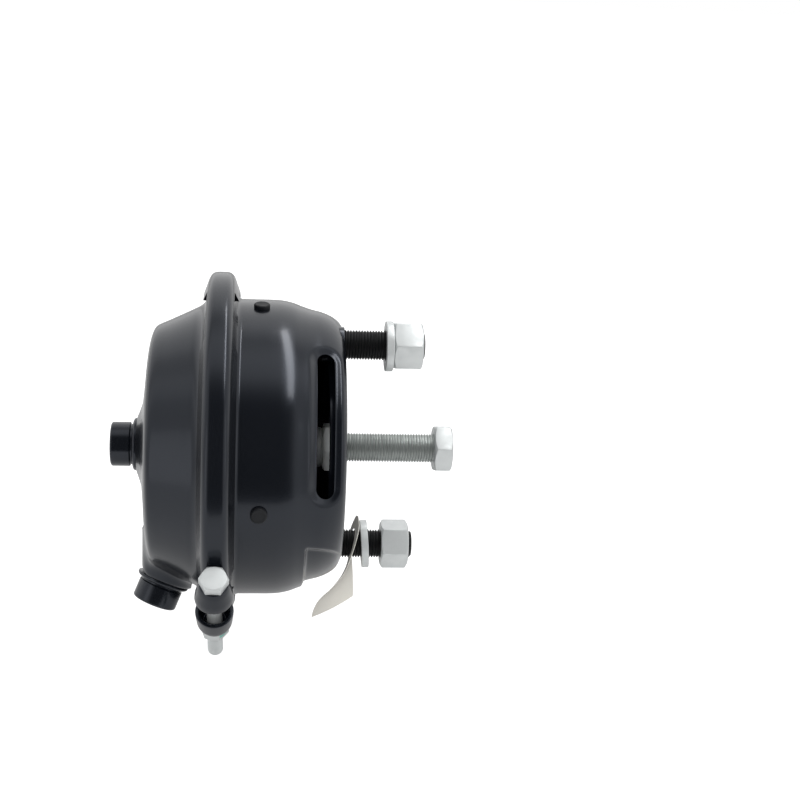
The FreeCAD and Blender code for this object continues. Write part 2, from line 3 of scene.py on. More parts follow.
import logging
import math
from dataclasses import asdict, dataclass
from enum import Enum
from typing import Any, Sequence

import bmesh
import bpy
import numpy as np
from mathutils import Matrix, Vector


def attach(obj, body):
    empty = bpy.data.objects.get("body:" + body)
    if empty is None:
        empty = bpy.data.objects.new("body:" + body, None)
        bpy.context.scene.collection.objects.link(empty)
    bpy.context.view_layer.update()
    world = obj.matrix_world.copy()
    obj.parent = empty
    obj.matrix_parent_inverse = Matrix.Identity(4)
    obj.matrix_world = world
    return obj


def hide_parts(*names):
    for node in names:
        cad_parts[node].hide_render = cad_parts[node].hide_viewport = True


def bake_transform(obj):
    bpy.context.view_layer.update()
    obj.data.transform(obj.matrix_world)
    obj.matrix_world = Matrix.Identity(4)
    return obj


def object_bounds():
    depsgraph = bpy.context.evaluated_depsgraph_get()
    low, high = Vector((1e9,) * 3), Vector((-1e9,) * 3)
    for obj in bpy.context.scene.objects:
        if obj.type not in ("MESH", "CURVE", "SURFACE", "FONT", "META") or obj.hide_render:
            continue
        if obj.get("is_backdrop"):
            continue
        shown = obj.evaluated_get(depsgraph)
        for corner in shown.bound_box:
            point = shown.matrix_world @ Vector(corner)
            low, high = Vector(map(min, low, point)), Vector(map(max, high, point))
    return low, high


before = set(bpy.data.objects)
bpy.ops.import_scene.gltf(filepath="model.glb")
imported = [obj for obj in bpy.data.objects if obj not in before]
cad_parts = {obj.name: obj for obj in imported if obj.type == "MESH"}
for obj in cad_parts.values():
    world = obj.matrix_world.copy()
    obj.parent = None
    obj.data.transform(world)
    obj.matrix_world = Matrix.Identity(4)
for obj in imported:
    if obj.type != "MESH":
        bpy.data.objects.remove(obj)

logging.basicConfig(level=logging.INFO, format="%(message)s")
log = logging.getLogger("brake_chamber")

MM = 0.001
CREASE = 32.0  # degrees, the sharpest turn that is shaded smooth
STUD_HALF = 60.325  # mm, from the axis to each mounting stud
PORT_BORE = 7.25  # mm, the radius of both ports
FINE_PITCH = 1.5  # mm, the thread of the studs, the ports and the push bolt
WIDE_FLATS = 24.0  # mm, across the flats of the large hexagons
SMALL_FLATS = 13.0  # mm, across the flats of the clamp's fastener
LARGE_EDGE = 0.3  # mm, the edge round of the large hexagons
Pair = tuple[float, float]
Triple = tuple[float, float, float]
Outline = Sequence[tuple[float, ...]]
Grid = np.ndarray
Thing = bpy.types.Object
Tree = bpy.types.NodeTree
Node = bpy.types.Node
Socket = bpy.types.NodeSocket
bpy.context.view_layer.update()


class Body(Enum):
    """The moving bodies of the chamber."""

    CHAMBER = "chamber"
    PUSH_ROD = "push_rod"
    SCREW = "adjusting_bolt"


class HexEnd(Enum):
    """Which ends of a hexagon have their corners turned off."""

    BOTH = "both"
    OUTER = "outer"


def linear(hex_colour: str) -> tuple[float, float, float, float]:
    """Turn an sRGB hex colour to linear light.

    Args:
        hex_colour: Six hex digits with a leading hash.

    Returns:
        Red, green, blue and an alpha of 1.
    """
    parts = [int(hex_colour[i : i + 2], 16) / 255 for i in (1, 3, 5)]
    light = [p / 12.92 if p <= 0.04045 else ((p + 0.055) / 1.055) ** 2.4 for p in parts]
    return (light[0], light[1], light[2], 1.0)


def add_node(tree: Tree, kind: str, links: dict[str, Any] | None = None, **settings: Any) -> Node:
    """Add one shader node with its settings and its incoming links.

    Args:
        tree: The node tree that takes the node.
        kind: The node's type name.
        links: Input name or number to a value, an output socket, or a node whose first output is meant.
        settings: Attributes of the node itself.

    Returns:
        The new node.
    """
    node = tree.nodes.new(kind)
    for key, value in settings.items():
        setattr(node, key, value)
    for key, value in (links or {}).items():
        socket = node.inputs[int(key)] if key.isdigit() else node.inputs[key]
        if isinstance(value, Node):
            value = value.outputs[0]
        if isinstance(value, Socket):
            tree.links.new(value, socket)
        else:
            socket.default_value = value
    return node


def emptied(owner: Any) -> Tree:
    """The node tree of a material or a world, emptied.

    Args:
        owner: The material or the world.

    Returns:
        The tree.
    """
    owner.use_nodes = True
    owner.node_tree.nodes.clear()
    return owner.node_tree


def per_mm(size_mm: float) -> float:
    """The texture scale at which one pattern cell is the given size in millimetres."""
    return 1.0 / (size_mm * MM)


# Finishes


@dataclass(frozen=True)
class Finish:
    """A surface finish: a base colour, a gloss and two scales of relief.

    Attributes:
        name: What the finish is called in the workshop.
        slot: The material slot of the record that it fills; not used.
        colour: The colour as an sRGB hex value.
        shade: The second colour that large soft patches drift towards.
        metallic: 1 for bare metal, 0 for paint, rubber and card.
        roughness: The mean microscopic roughness.
        roughness_drift: How far the roughness wanders across a patch.
        patch_mm: The size of the patches of colour and gloss.
        grain_mm: The size of the fine relief.
        grain_depth_mm: How deep the fine relief is.
        coat: The weight of a clear top layer.
        coat_roughness: The roughness of that layer.
        cast: The tint of what the surface reflects, as an sRGB hex value.
    """

    name: str
    slot: str
    colour: str
    shade: str
    metallic: float = 0.0
    roughness: float = 0.4
    roughness_drift: float = 0.05
    patch_mm: float = 30.0
    grain_mm: float = 1.0
    grain_depth_mm: float = 0.01
    coat: float = 0.0
    coat_roughness: float = 0.1
    cast: str = "#ffffff"

    def build(self) -> bpy.types.Material:
        """Make the material, or return it if it is made already.

        Returns:
            The material.
        """
        found = bpy.data.materials.get(self.name)
        if found:
            return found
        material = bpy.data.materials.new(self.name)
        tree = emptied(material)
        place = add_node(tree, "ShaderNodeTexCoord").outputs["Object"]
        links = {"Vector": place, "Scale": per_mm(self.patch_mm), "Detail": 3.0}
        patches = add_node(tree, "ShaderNodeTexNoise", links)
        links = {"0": patches, "6": linear(self.colour), "7": linear(self.shade)}
        colour = add_node(tree, "ShaderNodeMix", links, data_type="RGBA")
        smooth, dull = self.roughness - self.roughness_drift, self.roughness + self.roughness_drift
        links = {"Value": patches, "From Min": 0.3, "From Max": 0.7, "To Min": smooth, "To Max": dull}
        gloss = add_node(tree, "ShaderNodeMapRange", links)
        links = {"Height": self.relief(tree, place), "Distance": self.grain_depth_mm * MM, "Strength": 1.0}
        bump = add_node(tree, "ShaderNodeBump", links)
        links = {
            "Base Color": colour.outputs[2],
            "Roughness": gloss,
            "Normal": bump,
            "Metallic": self.metallic,
            "Coat Weight": self.coat,
            "Coat Roughness": self.coat_roughness,
            "Specular Tint": linear(self.cast),
        }
        shader = add_node(tree, "ShaderNodeBsdfPrincipled", links)
        add_node(tree, "ShaderNodeOutputMaterial", {"Surface": shader})
        return material

    def relief(self, tree: Tree, place: Socket) -> Node:
        """The height pattern of the fine relief."""
        links = {"Vector": place, "Scale": per_mm(self.grain_mm), "Detail": 2.0}
        return add_node(tree, "ShaderNodeTexNoise", links)


@dataclass(frozen=True)
class TurnedFinish(Finish):
    """A bare metal finish whose relief adds fine rings left by a lathe or a header across the X axis."""

    ring_mm: float = 0.8

    def relief(self, tree: Tree, place: Socket) -> Node:
        """The height pattern: rings mixed with plating grain.

        Args:
            tree: The material's node tree.
            place: The place on the piece, as a socket.

        Returns:
            The node whose first output is the height.
        """
        links = {"Vector": place, "Scale": per_mm(self.ring_mm) / 20.0, "Distortion": 2.0, "Detail": 1.0}
        rings = add_node(tree, "ShaderNodeTexWave", links, wave_type="BANDS", bands_direction="X")
        links = {"0": super().relief(tree, place), "1": rings.outputs["Fac"]}
        return add_node(tree, "ShaderNodeMath", links, operation="ADD")


@dataclass(frozen=True)
class MarkedFinish(TurnedFinish):
    """A turned finish with one round dab of paint on it.

    Attributes:
        dab: The paint's colour as an sRGB hex value.
        dab_at: The middle of the dab in mm.
        dab_mm: Its radius.
    """

    dab: str = "#ffffff"
    dab_at: Triple = (0.0, 0.0, 0.0)
    dab_mm: float = 2.0

    def build(self) -> bpy.types.Material:
        """Make the plated material, then lay the dab over its colour and its metal.

        Returns:
            The material.
        """
        material = super().build()
        tree = material.node_tree
        place = add_node(tree, "ShaderNodeTexCoord").outputs["Object"]
        links = {"0": place, "1": tuple(v * MM for v in self.dab_at)}
        away = add_node(tree, "ShaderNodeVectorMath", links, operation="DISTANCE").outputs["Value"]
        cloud = add_node(tree, "ShaderNodeTexNoise", {"Vector": place, "Scale": per_mm(1.6), "Detail": 2.0})
        ragged = add_node(tree, "ShaderNodeMath", {"0": cloud, "1": 0.9 * MM, "2": away}, operation="MULTIPLY_ADD")
        links = {"Value": ragged, "From Min": (self.dab_mm + 0.35) * MM, "From Max": (self.dab_mm + 0.55) * MM}
        bare = add_node(tree, "ShaderNodeMapRange", links, interpolation_type="SMOOTHSTEP")
        shader = next(node for node in tree.nodes if node.type == "BSDF_PRINCIPLED")
        plated = shader.inputs["Base Color"].links[0].from_socket
        links = {"0": bare, "6": linear(self.dab), "7": plated}
        colour = add_node(tree, "ShaderNodeMix", links, data_type="RGBA")
        tree.links.new(colour.outputs[2], shader.inputs["Base Color"])
        metal = add_node(tree, "ShaderNodeMath", {"0": bare, "1": self.metallic}, operation="MULTIPLY")
        tree.links.new(metal.outputs[0], shader.inputs["Metallic"])
        return material


# Stoved enamel over pressed steel: deep and glossy with a faint orange peel
ENAMEL = Finish(
    "stoved_enamel", "paint", "#0a0d12", "#080a0f", roughness=0.25, roughness_drift=0.03, patch_mm=60,
    grain_mm=2.5, grain_depth_mm=0.012, coat=0.25, coat_roughness=0.12, cast="#dde6f7",
)
# Bright zinc plate on cold headed steel: pale, softly shining, with faint cloudy patches
ZINC = TurnedFinish(
    "bright_zinc_plate", "zinc", "#dde0e0", "#cdd1d1", metallic=0.5, roughness=0.42, roughness_drift=0.08,
    patch_mm=6, grain_mm=0.7, grain_depth_mm=0.012, ring_mm=0.9,
)
# The push bolt's rolled thread: the same zinc made greyer and darker than the head, evenly over the whole thread
ROLLED_ZINC = Finish(
    "rolled_zinc_thread", "zinc", "#bfc3c1", "#a5aaa8", metallic=0.8, roughness=0.4, roughness_drift=0.08,
    patch_mm=4, grain_mm=0.6, grain_depth_mm=0.012,
)
# Black oxide on rolled threads: near black with a dull sheen on the crests
BLACK_OXIDE = Finish(
    "black_oxide_steel", "black_steel", "#2c2d2e", "#1f2021", metallic=0.7, roughness=0.42, roughness_drift=0.08,
    patch_mm=5, grain_mm=0.5, grain_depth_mm=0.01,
)
# Phosphated spring wire: dark grey, dry looking
PHOSPHATE = Finish(
    "phosphated_spring_wire", "spring_steel", "#55585a", "#3e4042", metallic=0.8, roughness=0.5,
    roughness_drift=0.06, patch_mm=8, grain_mm=0.4, grain_depth_mm=0.012,
)
# Moulded nitrile rubber: dull black with a slight bloom
RUBBER = Finish(
    "moulded_nitrile_rubber", "rubber", "#232426", "#2e2f31", roughness=0.62, roughness_drift=0.08, patch_mm=12,
    grain_mm=0.5, grain_depth_mm=0.02,
)
# Moulded polyethylene plugs: blue black with a soft shine
PLUG_PLASTIC = Finish(
    "moulded_plug_plastic", "plug", "#0e1014", "#0b0d11", roughness=0.6, roughness_drift=0.05, patch_mm=4,
    grain_mm=0.6, grain_depth_mm=0.01,
)
# Uncoated card: off white with soft fibres
CARD = Finish(
    "uncoated_card", "paper", "#e9e6df", "#dedbd2", roughness=0.8, roughness_drift=0.04, patch_mm=14, grain_mm=0.9,
    grain_depth_mm=0.03,
)
# The same zinc plate with a teal dab of paint brushed on after tightening
MARKED_ZINC = MarkedFinish(
    **(asdict(ZINC) | {"name": "marked_zinc_plate"}), dab="#7cc0b2", dab_at=(-60.4, -83.8, -66.0), dab_mm=3.0
)


# Mesh tools, in millimetres


@dataclass
class Frame:
    """A place for a turned piece: its start, its axis and the direction that angle 0 points in.

    Attributes:
        origin: The start point in mm.
        axis: The direction of the piece's own x.
        side: The direction of its angle 0.
    """

    origin: Triple = (0.0, 0.0, 0.0)
    axis: Triple = (1.0, 0.0, 0.0)
    side: Triple = (0.0, -1.0, 0.0)

    def place(self, x: Grid, r: Grid, angle: Grid) -> Grid:
        """Points in the row frame for x, radius and angle in radians.

        Args:
            x: Distances along the axis in mm.
            r: Distances from it.
            angle: Angles round it in radians.

        Returns:
            The points, with one more dimension than the inputs.
        """
        axis = np.array(Vector(self.axis).normalized())
        side = np.array(self.side, float)
        side = side - axis * (side @ axis)
        side /= np.linalg.norm(side)
        up = np.cross(side, axis)
        spokes = np.cos(angle)[..., None] * side + np.sin(angle)[..., None] * up
        return np.array(self.origin) + x[..., None] * axis + r[..., None] * spokes


def outward(degrees: float) -> Grid:
    """The unit vector across the chamber's axis, 0 towards -Y and 90 towards +Z."""
    turn = math.radians(degrees)
    return np.array([0.0, -math.cos(turn), math.sin(turn)])


def onward(degrees: float) -> Grid:
    """The unit vector round the chamber's axis, towards larger angles."""
    turn = math.radians(degrees)
    return np.array([0.0, math.sin(turn), math.cos(turn)])


def bar(start: float, end: float, radius: float) -> list[Pair]:
    """The section of a plain round bar."""
    return [(start, 0.0), (start, radius), (end, radius), (end, 0.0)]


def smooth_step(value: Grid, low: float, high: float) -> Grid:
    """0 below low, 1 above high, and a smooth rise between."""
    t = np.clip((value - low) / (high - low), 0.0, 1.0)
    return t * t * (3 - 2 * t)


def smooth_min(a: Grid, b: Grid, blend: float) -> Grid:
    """The lesser of two fields, rounded where they meet over a blend width."""
    mix = np.clip(0.5 + 0.5 * (b - a) / blend, 0.0, 1.0)
    return b * (1 - mix) + a * mix - blend * mix * (1 - mix)


def smooth_max(a: Grid, b: Grid, blend: float) -> Grid:
    """The greater of two fields, rounded where they meet over a blend width."""
    return -smooth_min(-a, -b, blend)


def spline(points: Sequence[Pair], step: float) -> list[Pair]:
    """A Catmull-Rom curve through points, sampled about every step.

    Args:
        points: The points in order.
        step: The spacing of the samples in mm.

    Returns:
        The sampled points, ends included.
    """
    p = np.array(points, float)
    p = np.vstack([2 * p[0] - p[1], p, 2 * p[-1] - p[-2]])
    out: list[Pair] = []
    for i in range(1, len(p) - 2):
        a, b, c, d = p[i - 1 : i + 3]
        count = max(2, int(np.linalg.norm(c - b) / step))
        for k in range(count):
            t = k / count
            q = 0.5 * (2 * b + (c - a) * t + (2 * a - 5 * b + 4 * c - d) * t**2 + (3 * b - a - 3 * c + d) * t**3)
            out.append((float(q[0]), float(q[1])))
    out.append((float(p[-2][0]), float(p[-2][1])))
    return out


def rounded(points: Outline, steps: int = 4) -> list[Pair]:
    """A closed outline with its corners rounded.

    Args:
        points: (x, y) for a sharp corner, or (x, y, radius) for a round one.
        steps: The number of chords in each round.

    Returns:
        The outline's points.
    """
    out: list[Pair] = []
    count = len(points)
    for i, point in enumerate(points):
        here = np.array(point[:2], float)
        radius = point[2] if len(point) > 2 else 0.0
        if radius <= 0:
            out.append((float(here[0]), float(here[1])))
            continue
        before = np.array(points[i - 1][:2], float) - here
        after = np.array(points[(i + 1) % count][:2], float) - here
        reach = min(radius, 0.45 * np.linalg.norm(before), 0.45 * np.linalg.norm(after))
        start = here + before / np.linalg.norm(before) * reach
        end = here + after / np.linalg.norm(after) * reach
        for k in range(steps + 1):
            t = k / steps
            q = start * (1 - t) ** 2 + 2 * here * t * (1 - t) + end * t**2
            out.append((float(q[0]), float(q[1])))
    return out


def mesh_from_grid(name: str, points: Grid, close_rows: bool, close_columns: bool, caps: bool = False) -> Thing:
    """A mesh object from a grid of points in mm.

    Args:
        name: The object's name.
        points: Rows by columns by 3.
        close_rows: Whether the last row joins the first.
        close_columns: Whether the last column joins the first.
        caps: Whether the first and last rows are filled.

    Returns:
        The object, linked to the scene.
    """
    rows, columns, _ = points.shape
    index = np.arange(rows * columns).reshape(rows, columns)
    after = np.roll(index, -1, 1)
    quads = np.stack([index, after, np.roll(after, -1, 0), np.roll(index, -1, 0)], -1)
    quads = quads[: rows if close_rows else rows - 1, : columns if close_columns else columns - 1]
    faces = [tuple(f) for f in quads.reshape(-1, 4).tolist()]
    if caps:
        faces.append(tuple(index[0].tolist()))
        faces.append(tuple(index[-1][::-1].tolist()))
    return mesh_object(name, points.reshape(-1, 3), faces)


def mesh_object(name: str, points: Grid, faces: Sequence[tuple[int, ...]]) -> Thing:
    """A cleaned mesh object from points in mm and faces, with normals outwards.

    Args:
        name: The object's name.
        points: The points in mm.
        faces: The points of each face, by number.

    Returns:
        The object, linked to the scene.
    """
    mesh = bpy.data.meshes.new(name)
    mesh.from_pydata((points * MM).tolist(), [], faces)
    obj = bpy.data.objects.new(name, mesh)
    bpy.context.scene.collection.objects.link(obj)
    clean(obj)
    return obj


def clean(obj: Thing) -> None:
    """Merge doubled points, turn normals outwards, and set smooth shading with sharp edges by angle.

    Args:
        obj: The object whose mesh is cleaned.
    """
    work = bmesh.new()
    work.from_mesh(obj.data)
    bmesh.ops.remove_doubles(work, verts=work.verts, dist=2e-6)
    bmesh.ops.dissolve_degenerate(work, edges=work.edges, dist=1e-6)
    bmesh.ops.recalc_face_normals(work, faces=work.faces)
    work.to_mesh(obj.data)
    work.free()
    shade(obj)


def shade(obj: Thing, angle: float = CREASE) -> None:
    """Smooth shading with edges sharper than the angle kept crisp."""
    obj.data.shade_smooth()
    obj.data.set_sharp_from_angle(angle=math.radians(angle))


def settle(obj: Thing, angle: float = CREASE) -> Thing:
    """Apply an object's modifiers to its mesh.

    Args:
        obj: The object.
        angle: Edges sharper than this, in degrees, stay crisp.

    Returns:
        The same object.
    """
    bpy.context.view_layer.update()
    graph = bpy.context.evaluated_depsgraph_get()
    mesh = bpy.data.meshes.new_from_object(obj.evaluated_get(graph))
    obj.modifiers.clear()
    obj.data = mesh
    shade(obj, angle)
    return obj


def bevel(obj: Thing, width_mm: float, angle: float) -> Thing:
    """Round the edges that are sharper than the angle.

    Args:
        obj: The object.
        width_mm: The width of the rounds.
        angle: The angle in degrees.

    Returns:
        The same object.
    """
    change = obj.modifiers.new("edge", "BEVEL")
    change.width = width_mm * MM
    change.segments = 2
    change.limit_method = "ANGLE"
    change.angle_limit = math.radians(angle)
    change.use_clamp_overlap = True
    return settle(obj, 50.0)


def carve(obj: Thing, tool: Thing) -> None:
    """Cut a tool out of an object, and remove the tool.

    Args:
        obj: The object that is cut.
        tool: What is cut out of it.
    """
    change = obj.modifiers.new("carve", "BOOLEAN")
    change.operation = "DIFFERENCE"
    change.solver = "EXACT"
    change.object = tool
    settle(obj)
    bpy.data.objects.remove(tool)


def join(name: str, parts: Sequence[Thing]) -> Thing:
    """One object that holds the meshes of several.

    Args:
        name: The new object's name.
        parts: The objects, which are removed.

    Returns:
        The new object.
    """
    work = bmesh.new()
    for part in parts:
        work.from_mesh(part.data)
    mesh = bpy.data.meshes.new(name)
    work.to_mesh(mesh)
    work.free()
    obj = bpy.data.objects.new(name, mesh)
    bpy.context.scene.collection.objects.link(obj)
    for part in parts:
        bpy.data.objects.remove(part)
    shade(obj)
    return obj


def turned(section: Sequence[Pair], angle: Grid, place: Frame) -> Grid:
    """The points of a section turned through the angles, as rows by columns by 3, in mm."""
    x, r = (np.array(column)[:, None] + 0 * angle for column in zip(*section))
    return place.place(x, r, angle + 0 * x)


def lathe(name: str, section: Outline, place: Frame | None = None, segments: int = 160) -> Thing:
    """A closed section turned round an axis.

    Args:
        name: The object's name.
        section: (x, radius) points in mm, with a third value where the corner is rounded.
        place: Where the piece goes; the chamber's own axis when left out.
        segments: The number of steps round.

    Returns:
        The object.
    """
    angle = np.linspace(0, 2 * math.pi, segments, endpoint=False)
    return mesh_from_grid(name, turned(rounded(section), angle, place or Frame()), True, True)


def threaded(
    name: str, start: float, end: float, radius: float, pitch: float,
    place: Frame | None = None, tips: Pair = (1.0, 1.0),
) -> Thing:
    """A rod with a real helical thread.

    Args:
        name: The object's name.
        start: Where the rod starts along its axis, in mm.
        end: Where it ends.
        radius: The radius over the crests.
        pitch: The thread pitch.
        place: Where the rod goes.
        tips: How far each end is tapered.

    Returns:
        The object, closed at both ends.
    """
    segments = 72
    depth = 0.58 * pitch
    # Share of the pitch and share of the depth: crest, flank down, root, and the flank back up
    shape = ((0.0, 0.0), (0.14, 0.0), (0.46, 1.0), (0.68, 1.0))
    turns = int((end - start) / pitch) + 3
    rows = [(turn + share, drop) for turn in range(-1, turns) for share, drop in shape]
    columns = np.arange(segments + 1) / segments
    x = start + (np.array([row[0] for row in rows])[:, None] - 1 + columns[None, :]) * pitch
    r = radius - depth * np.array([row[1] for row in rows])[:, None] + 0 * x
    x = np.clip(x, start, end)
    r = np.minimum(r, radius - tips[0] + (x - start))
    r = np.minimum(r, radius - tips[1] + (end - x))
    points = (place or Frame()).place(x, r, columns[None, :] * 2 * math.pi + 0 * x)
    obj = mesh_from_grid(name, points, False, False)
    work = bmesh.new()
    work.from_mesh(obj.data)
    bmesh.ops.remove_doubles(work, verts=work.verts, dist=5e-6)
    bmesh.ops.holes_fill(work, edges=[e for e in work.edges if e.is_boundary], sides=0)
    bmesh.ops.recalc_face_normals(work, faces=work.faces)
    work.to_mesh(obj.data)
    work.free()
    shade(obj, 25.0)
    return obj


def hexagon(
    name: str, flats: float, height: float, place: Frame,
    bore: float = 0.0, ends: HexEnd = HexEnd.BOTH, spin: float = 0.0, edge: float = 0.22,
) -> Thing:
    """A hex nut or bolt head with its corners turned off in true curves.

    Args:
        name: The object's name.
        flats: The size across flats in mm.
        height: The height along the axis.
        place: Where it goes; it runs along the place's axis.
        bore: The radius of the hole, or 0 for a head.
        ends: Which ends have their corners turned off.
        spin: How far the corners are turned round, in degrees.
        edge: The width of the small edge rounds.

    Returns:
        The object.
    """
    angle = np.radians(np.arange(0, 360, 5.0))
    within = (angle + math.pi / 6) % (math.pi / 3) - math.pi / 6
    side = flats / 2 / np.cos(within)
    flat_circle = flats / 2 * 0.965
    slope = math.tan(math.radians(30))
    drop = (side - flat_circle) * slope
    low_drop = drop if ends is HexEnd.BOTH else 0 * drop
    low_circle = flat_circle if ends is HexEnd.BOTH else side
    flat = 0 * angle
    mouth = 0.8
    hole = [(flat + mouth, flat + bore), (flat, flat + bore + mouth)] if bore else [(flat, flat)]
    rows = hole + [(flat, flat + low_circle), (low_drop, side)]
    rows += [(height - drop, side), (flat + height, flat + flat_circle)]
    rows += [(height - x, r) for x, r in reversed(hole)]
    x, r = np.array(rows).transpose(1, 0, 2)
    points = place.place(x, r, angle + math.radians(spin) + 0 * x)
    obj = mesh_from_grid(name, points, bool(bore), True)
    return bevel(obj, edge, 20.0)


def dress(obj: Thing, finish: Finish, node: str, body: Body | None = Body.CHAMBER) -> Thing:
    """Give a piece its material and, unless it stretches, its body, and hide the imported solid of the node that it
    stands for.

    Args:
        obj: The piece.
        finish: Its finish.
        node: The node that it stands for.
        body: The body that it rides on, or None for a piece that stretches between two.

    Returns:
        The same piece.
    """
    obj.data.materials.clear()
    obj.data.materials.append(finish.build())
    if body:
        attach(obj, body.value)
    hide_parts(node)
    log.info("%s: %d faces", obj.name, len(obj.data.polygons))
    return obj


# Sub-assemblies


@dataclass
class MountingHousing:
    """The deeper pressed cup with the mounting face, the window and the pocket beside the lower stud.

    Attributes:
        wall: The sheet thickness in mm.
        window_angle: The angle of the window.
        window_x: The middle of the window along X.
        window_half: Half the straight length of the window.
        window_radius: Half the width of the window.
        lip_width: How far the soft lip round the window reaches.
        lip_depth: How far that lip dips.
        pocket_angle: The direction that the pocket faces.
        pocket_distance: How far from the axis the plane lies that ends the pocket.
        pocket_start: Where the pocket starts along X.
        pocket_depth: How deep the pocket is.
        wall_from: The radius beyond which the sheet is the side wall.
        wall_soft: How softly the pocket runs out.
    """

    wall: float = 3.0
    window_angle: float = 35.0
    window_x: float = -10.9
    window_half: float = 32.7
    window_radius: float = 4.6
    lip_width: float = 4.6
    lip_depth: float = 2.2
    pocket_angle: float = -52.0
    pocket_distance: float = 62.5
    pocket_start: float = -20.0
    pocket_depth: float = 2.5
    wall_from: float = 52.0
    wall_soft: float = 0.9

    def shape(self, points: Grid, inner: Grid) -> Grid:
        """Press the pocket and the window lip into the turned shape.

        Args:
            points: Rows by columns by 3, in mm.
            inner: True for each row on the inside of the sheet.

        Returns:
            The pressed points.
        """
        x = points[..., 0]
        radial = np.hypot(points[..., 1], points[..., 2])
        spoke = points[..., 1:] / np.maximum(radial, 1e-6)[..., None]
        inset = np.where(inner[:, None], self.wall, 0.0)
        facing = spoke @ outward(self.pocket_angle)[1:]
        limit = np.where(facing > 0.3, (self.pocket_distance - inset) / np.maximum(facing, 0.3), 1e3)
        dip = self.pocket_depth - smooth_max(self.pocket_depth - (radial - limit), 0 * radial, self.wall_soft)
        dip = smooth_max(dip, 0 * radial, 0.7)
        start = self.pocket_start - inset
        share = smooth_step(x, start - 0.3, start + 1.5)
        on_wall = radial > self.wall_from
        pressed = radial - dip * share * on_wall
        facing = spoke @ outward(self.window_angle)[1:]
        across = pressed * (spoke @ onward(self.window_angle)[1:])
        gap = np.hypot(np.maximum(np.abs(across) - self.window_half, 0), x - self.window_x) - self.window_radius
        lip = self.lip_depth * (1 - smooth_step(gap, 0.0, self.lip_width))
        pressed = pressed - np.where((facing > 0.2) & on_wall, lip, 0.0)
        out = points.copy()
        out[..., 1:] = spoke * pressed[..., None]
        return out

    def cutter(self) -> Thing:
        """A bar the shape of the window.

        Returns:
            The cutting tool.
        """
        turn = np.linspace(0, 2 * math.pi, 64, endpoint=False)
        along = np.cos(turn) * self.window_radius
        over = np.sin(turn) * self.window_radius + np.sign(np.sin(turn)) * self.window_half
        rows = []
        for reach in (46.0, 92.0):
            rows.append(
                np.array([self.window_x, 0, 0])
                + outward(self.window_angle) * reach
                + along[:, None] * np.array([1.0, 0, 0])
                + over[:, None] * onward(self.window_angle)
            )
        return mesh_from_grid("window_tool", np.array(rows), False, True, caps=True)

    def build(self) -> None:
        """Make the housing with its stud pads."""
        outer = spline(
            [
                (-54.2, 80.0), (-46.0, 80.0), (-38.0, 80.0), (-32.5, 79.7), (-27.0, 78.6), (-22.0, 76.8),
                (-17.0, 75.2), (-12.0, 74.0), (-8.5, 72.8), (-5.4, 71.3), (-3.0, 69.6), (-1.4, 67.9),
                (-0.4, 66.2), (0.0, 65.0),
            ],
            0.6,
        )
        face = [(0.0, r) for r in np.linspace(63.5, 17.1, 14)] + [(-0.25, 16.7), (-0.6, 16.5), (-3.0, 16.5)]
        inner = spline(
            [
                (-3.0, 58.0), (-3.0, 63.0), (-3.8, 65.6), (-5.0, 67.2), (-7.0, 68.7), (-9.6, 70.0),
                (-12.8, 71.1), (-17.8, 72.3), (-23.0, 74.0), (-27.8, 75.7), (-33.0, 76.7), (-38.2, 77.0),
                (-63.4, 77.0),
            ],
            2.0,
        )
        flange = rounded(
            [
                (-63.4, 91.0, 0.4), (-60.12, 91.0, 0.5), (-57.96, 85.0), (-57.5, 83.6, 0.8), (-56.6, 81.9),
                (-55.5, 80.5),
            ]
        )
        section = outer + face + inner + flange
        start = len(outer) + len(face)
        inside = np.array([start <= k < start + len(inner) for k in range(len(section))])
        angle = np.radians(np.concatenate([np.arange(-95.0, 76.0, 0.6), np.arange(76.0, 265.0, 1.5)]))
        pressed = self.shape(turned(section, angle, Frame()), inside)
        shell = mesh_from_grid("mounting_housing_shell", pressed, True, True)
        carve(shell, self.cutter())
        pad = [(-11.9, 8.2), (-11.9, 9.4), (-0.01, 9.4, 0.8), (-0.01, 8.25, 0.3), (-1.0, 8.2)]
        pads = [lathe("pad", pad, Frame(origin=(0.0, 0.0, sign * STUD_HALF)), 72) for sign in (1, -1)]
        housing = join("mounting_housing", [shell] + pads)
        dress(housing, ENAMEL, "non_pressure_housing")


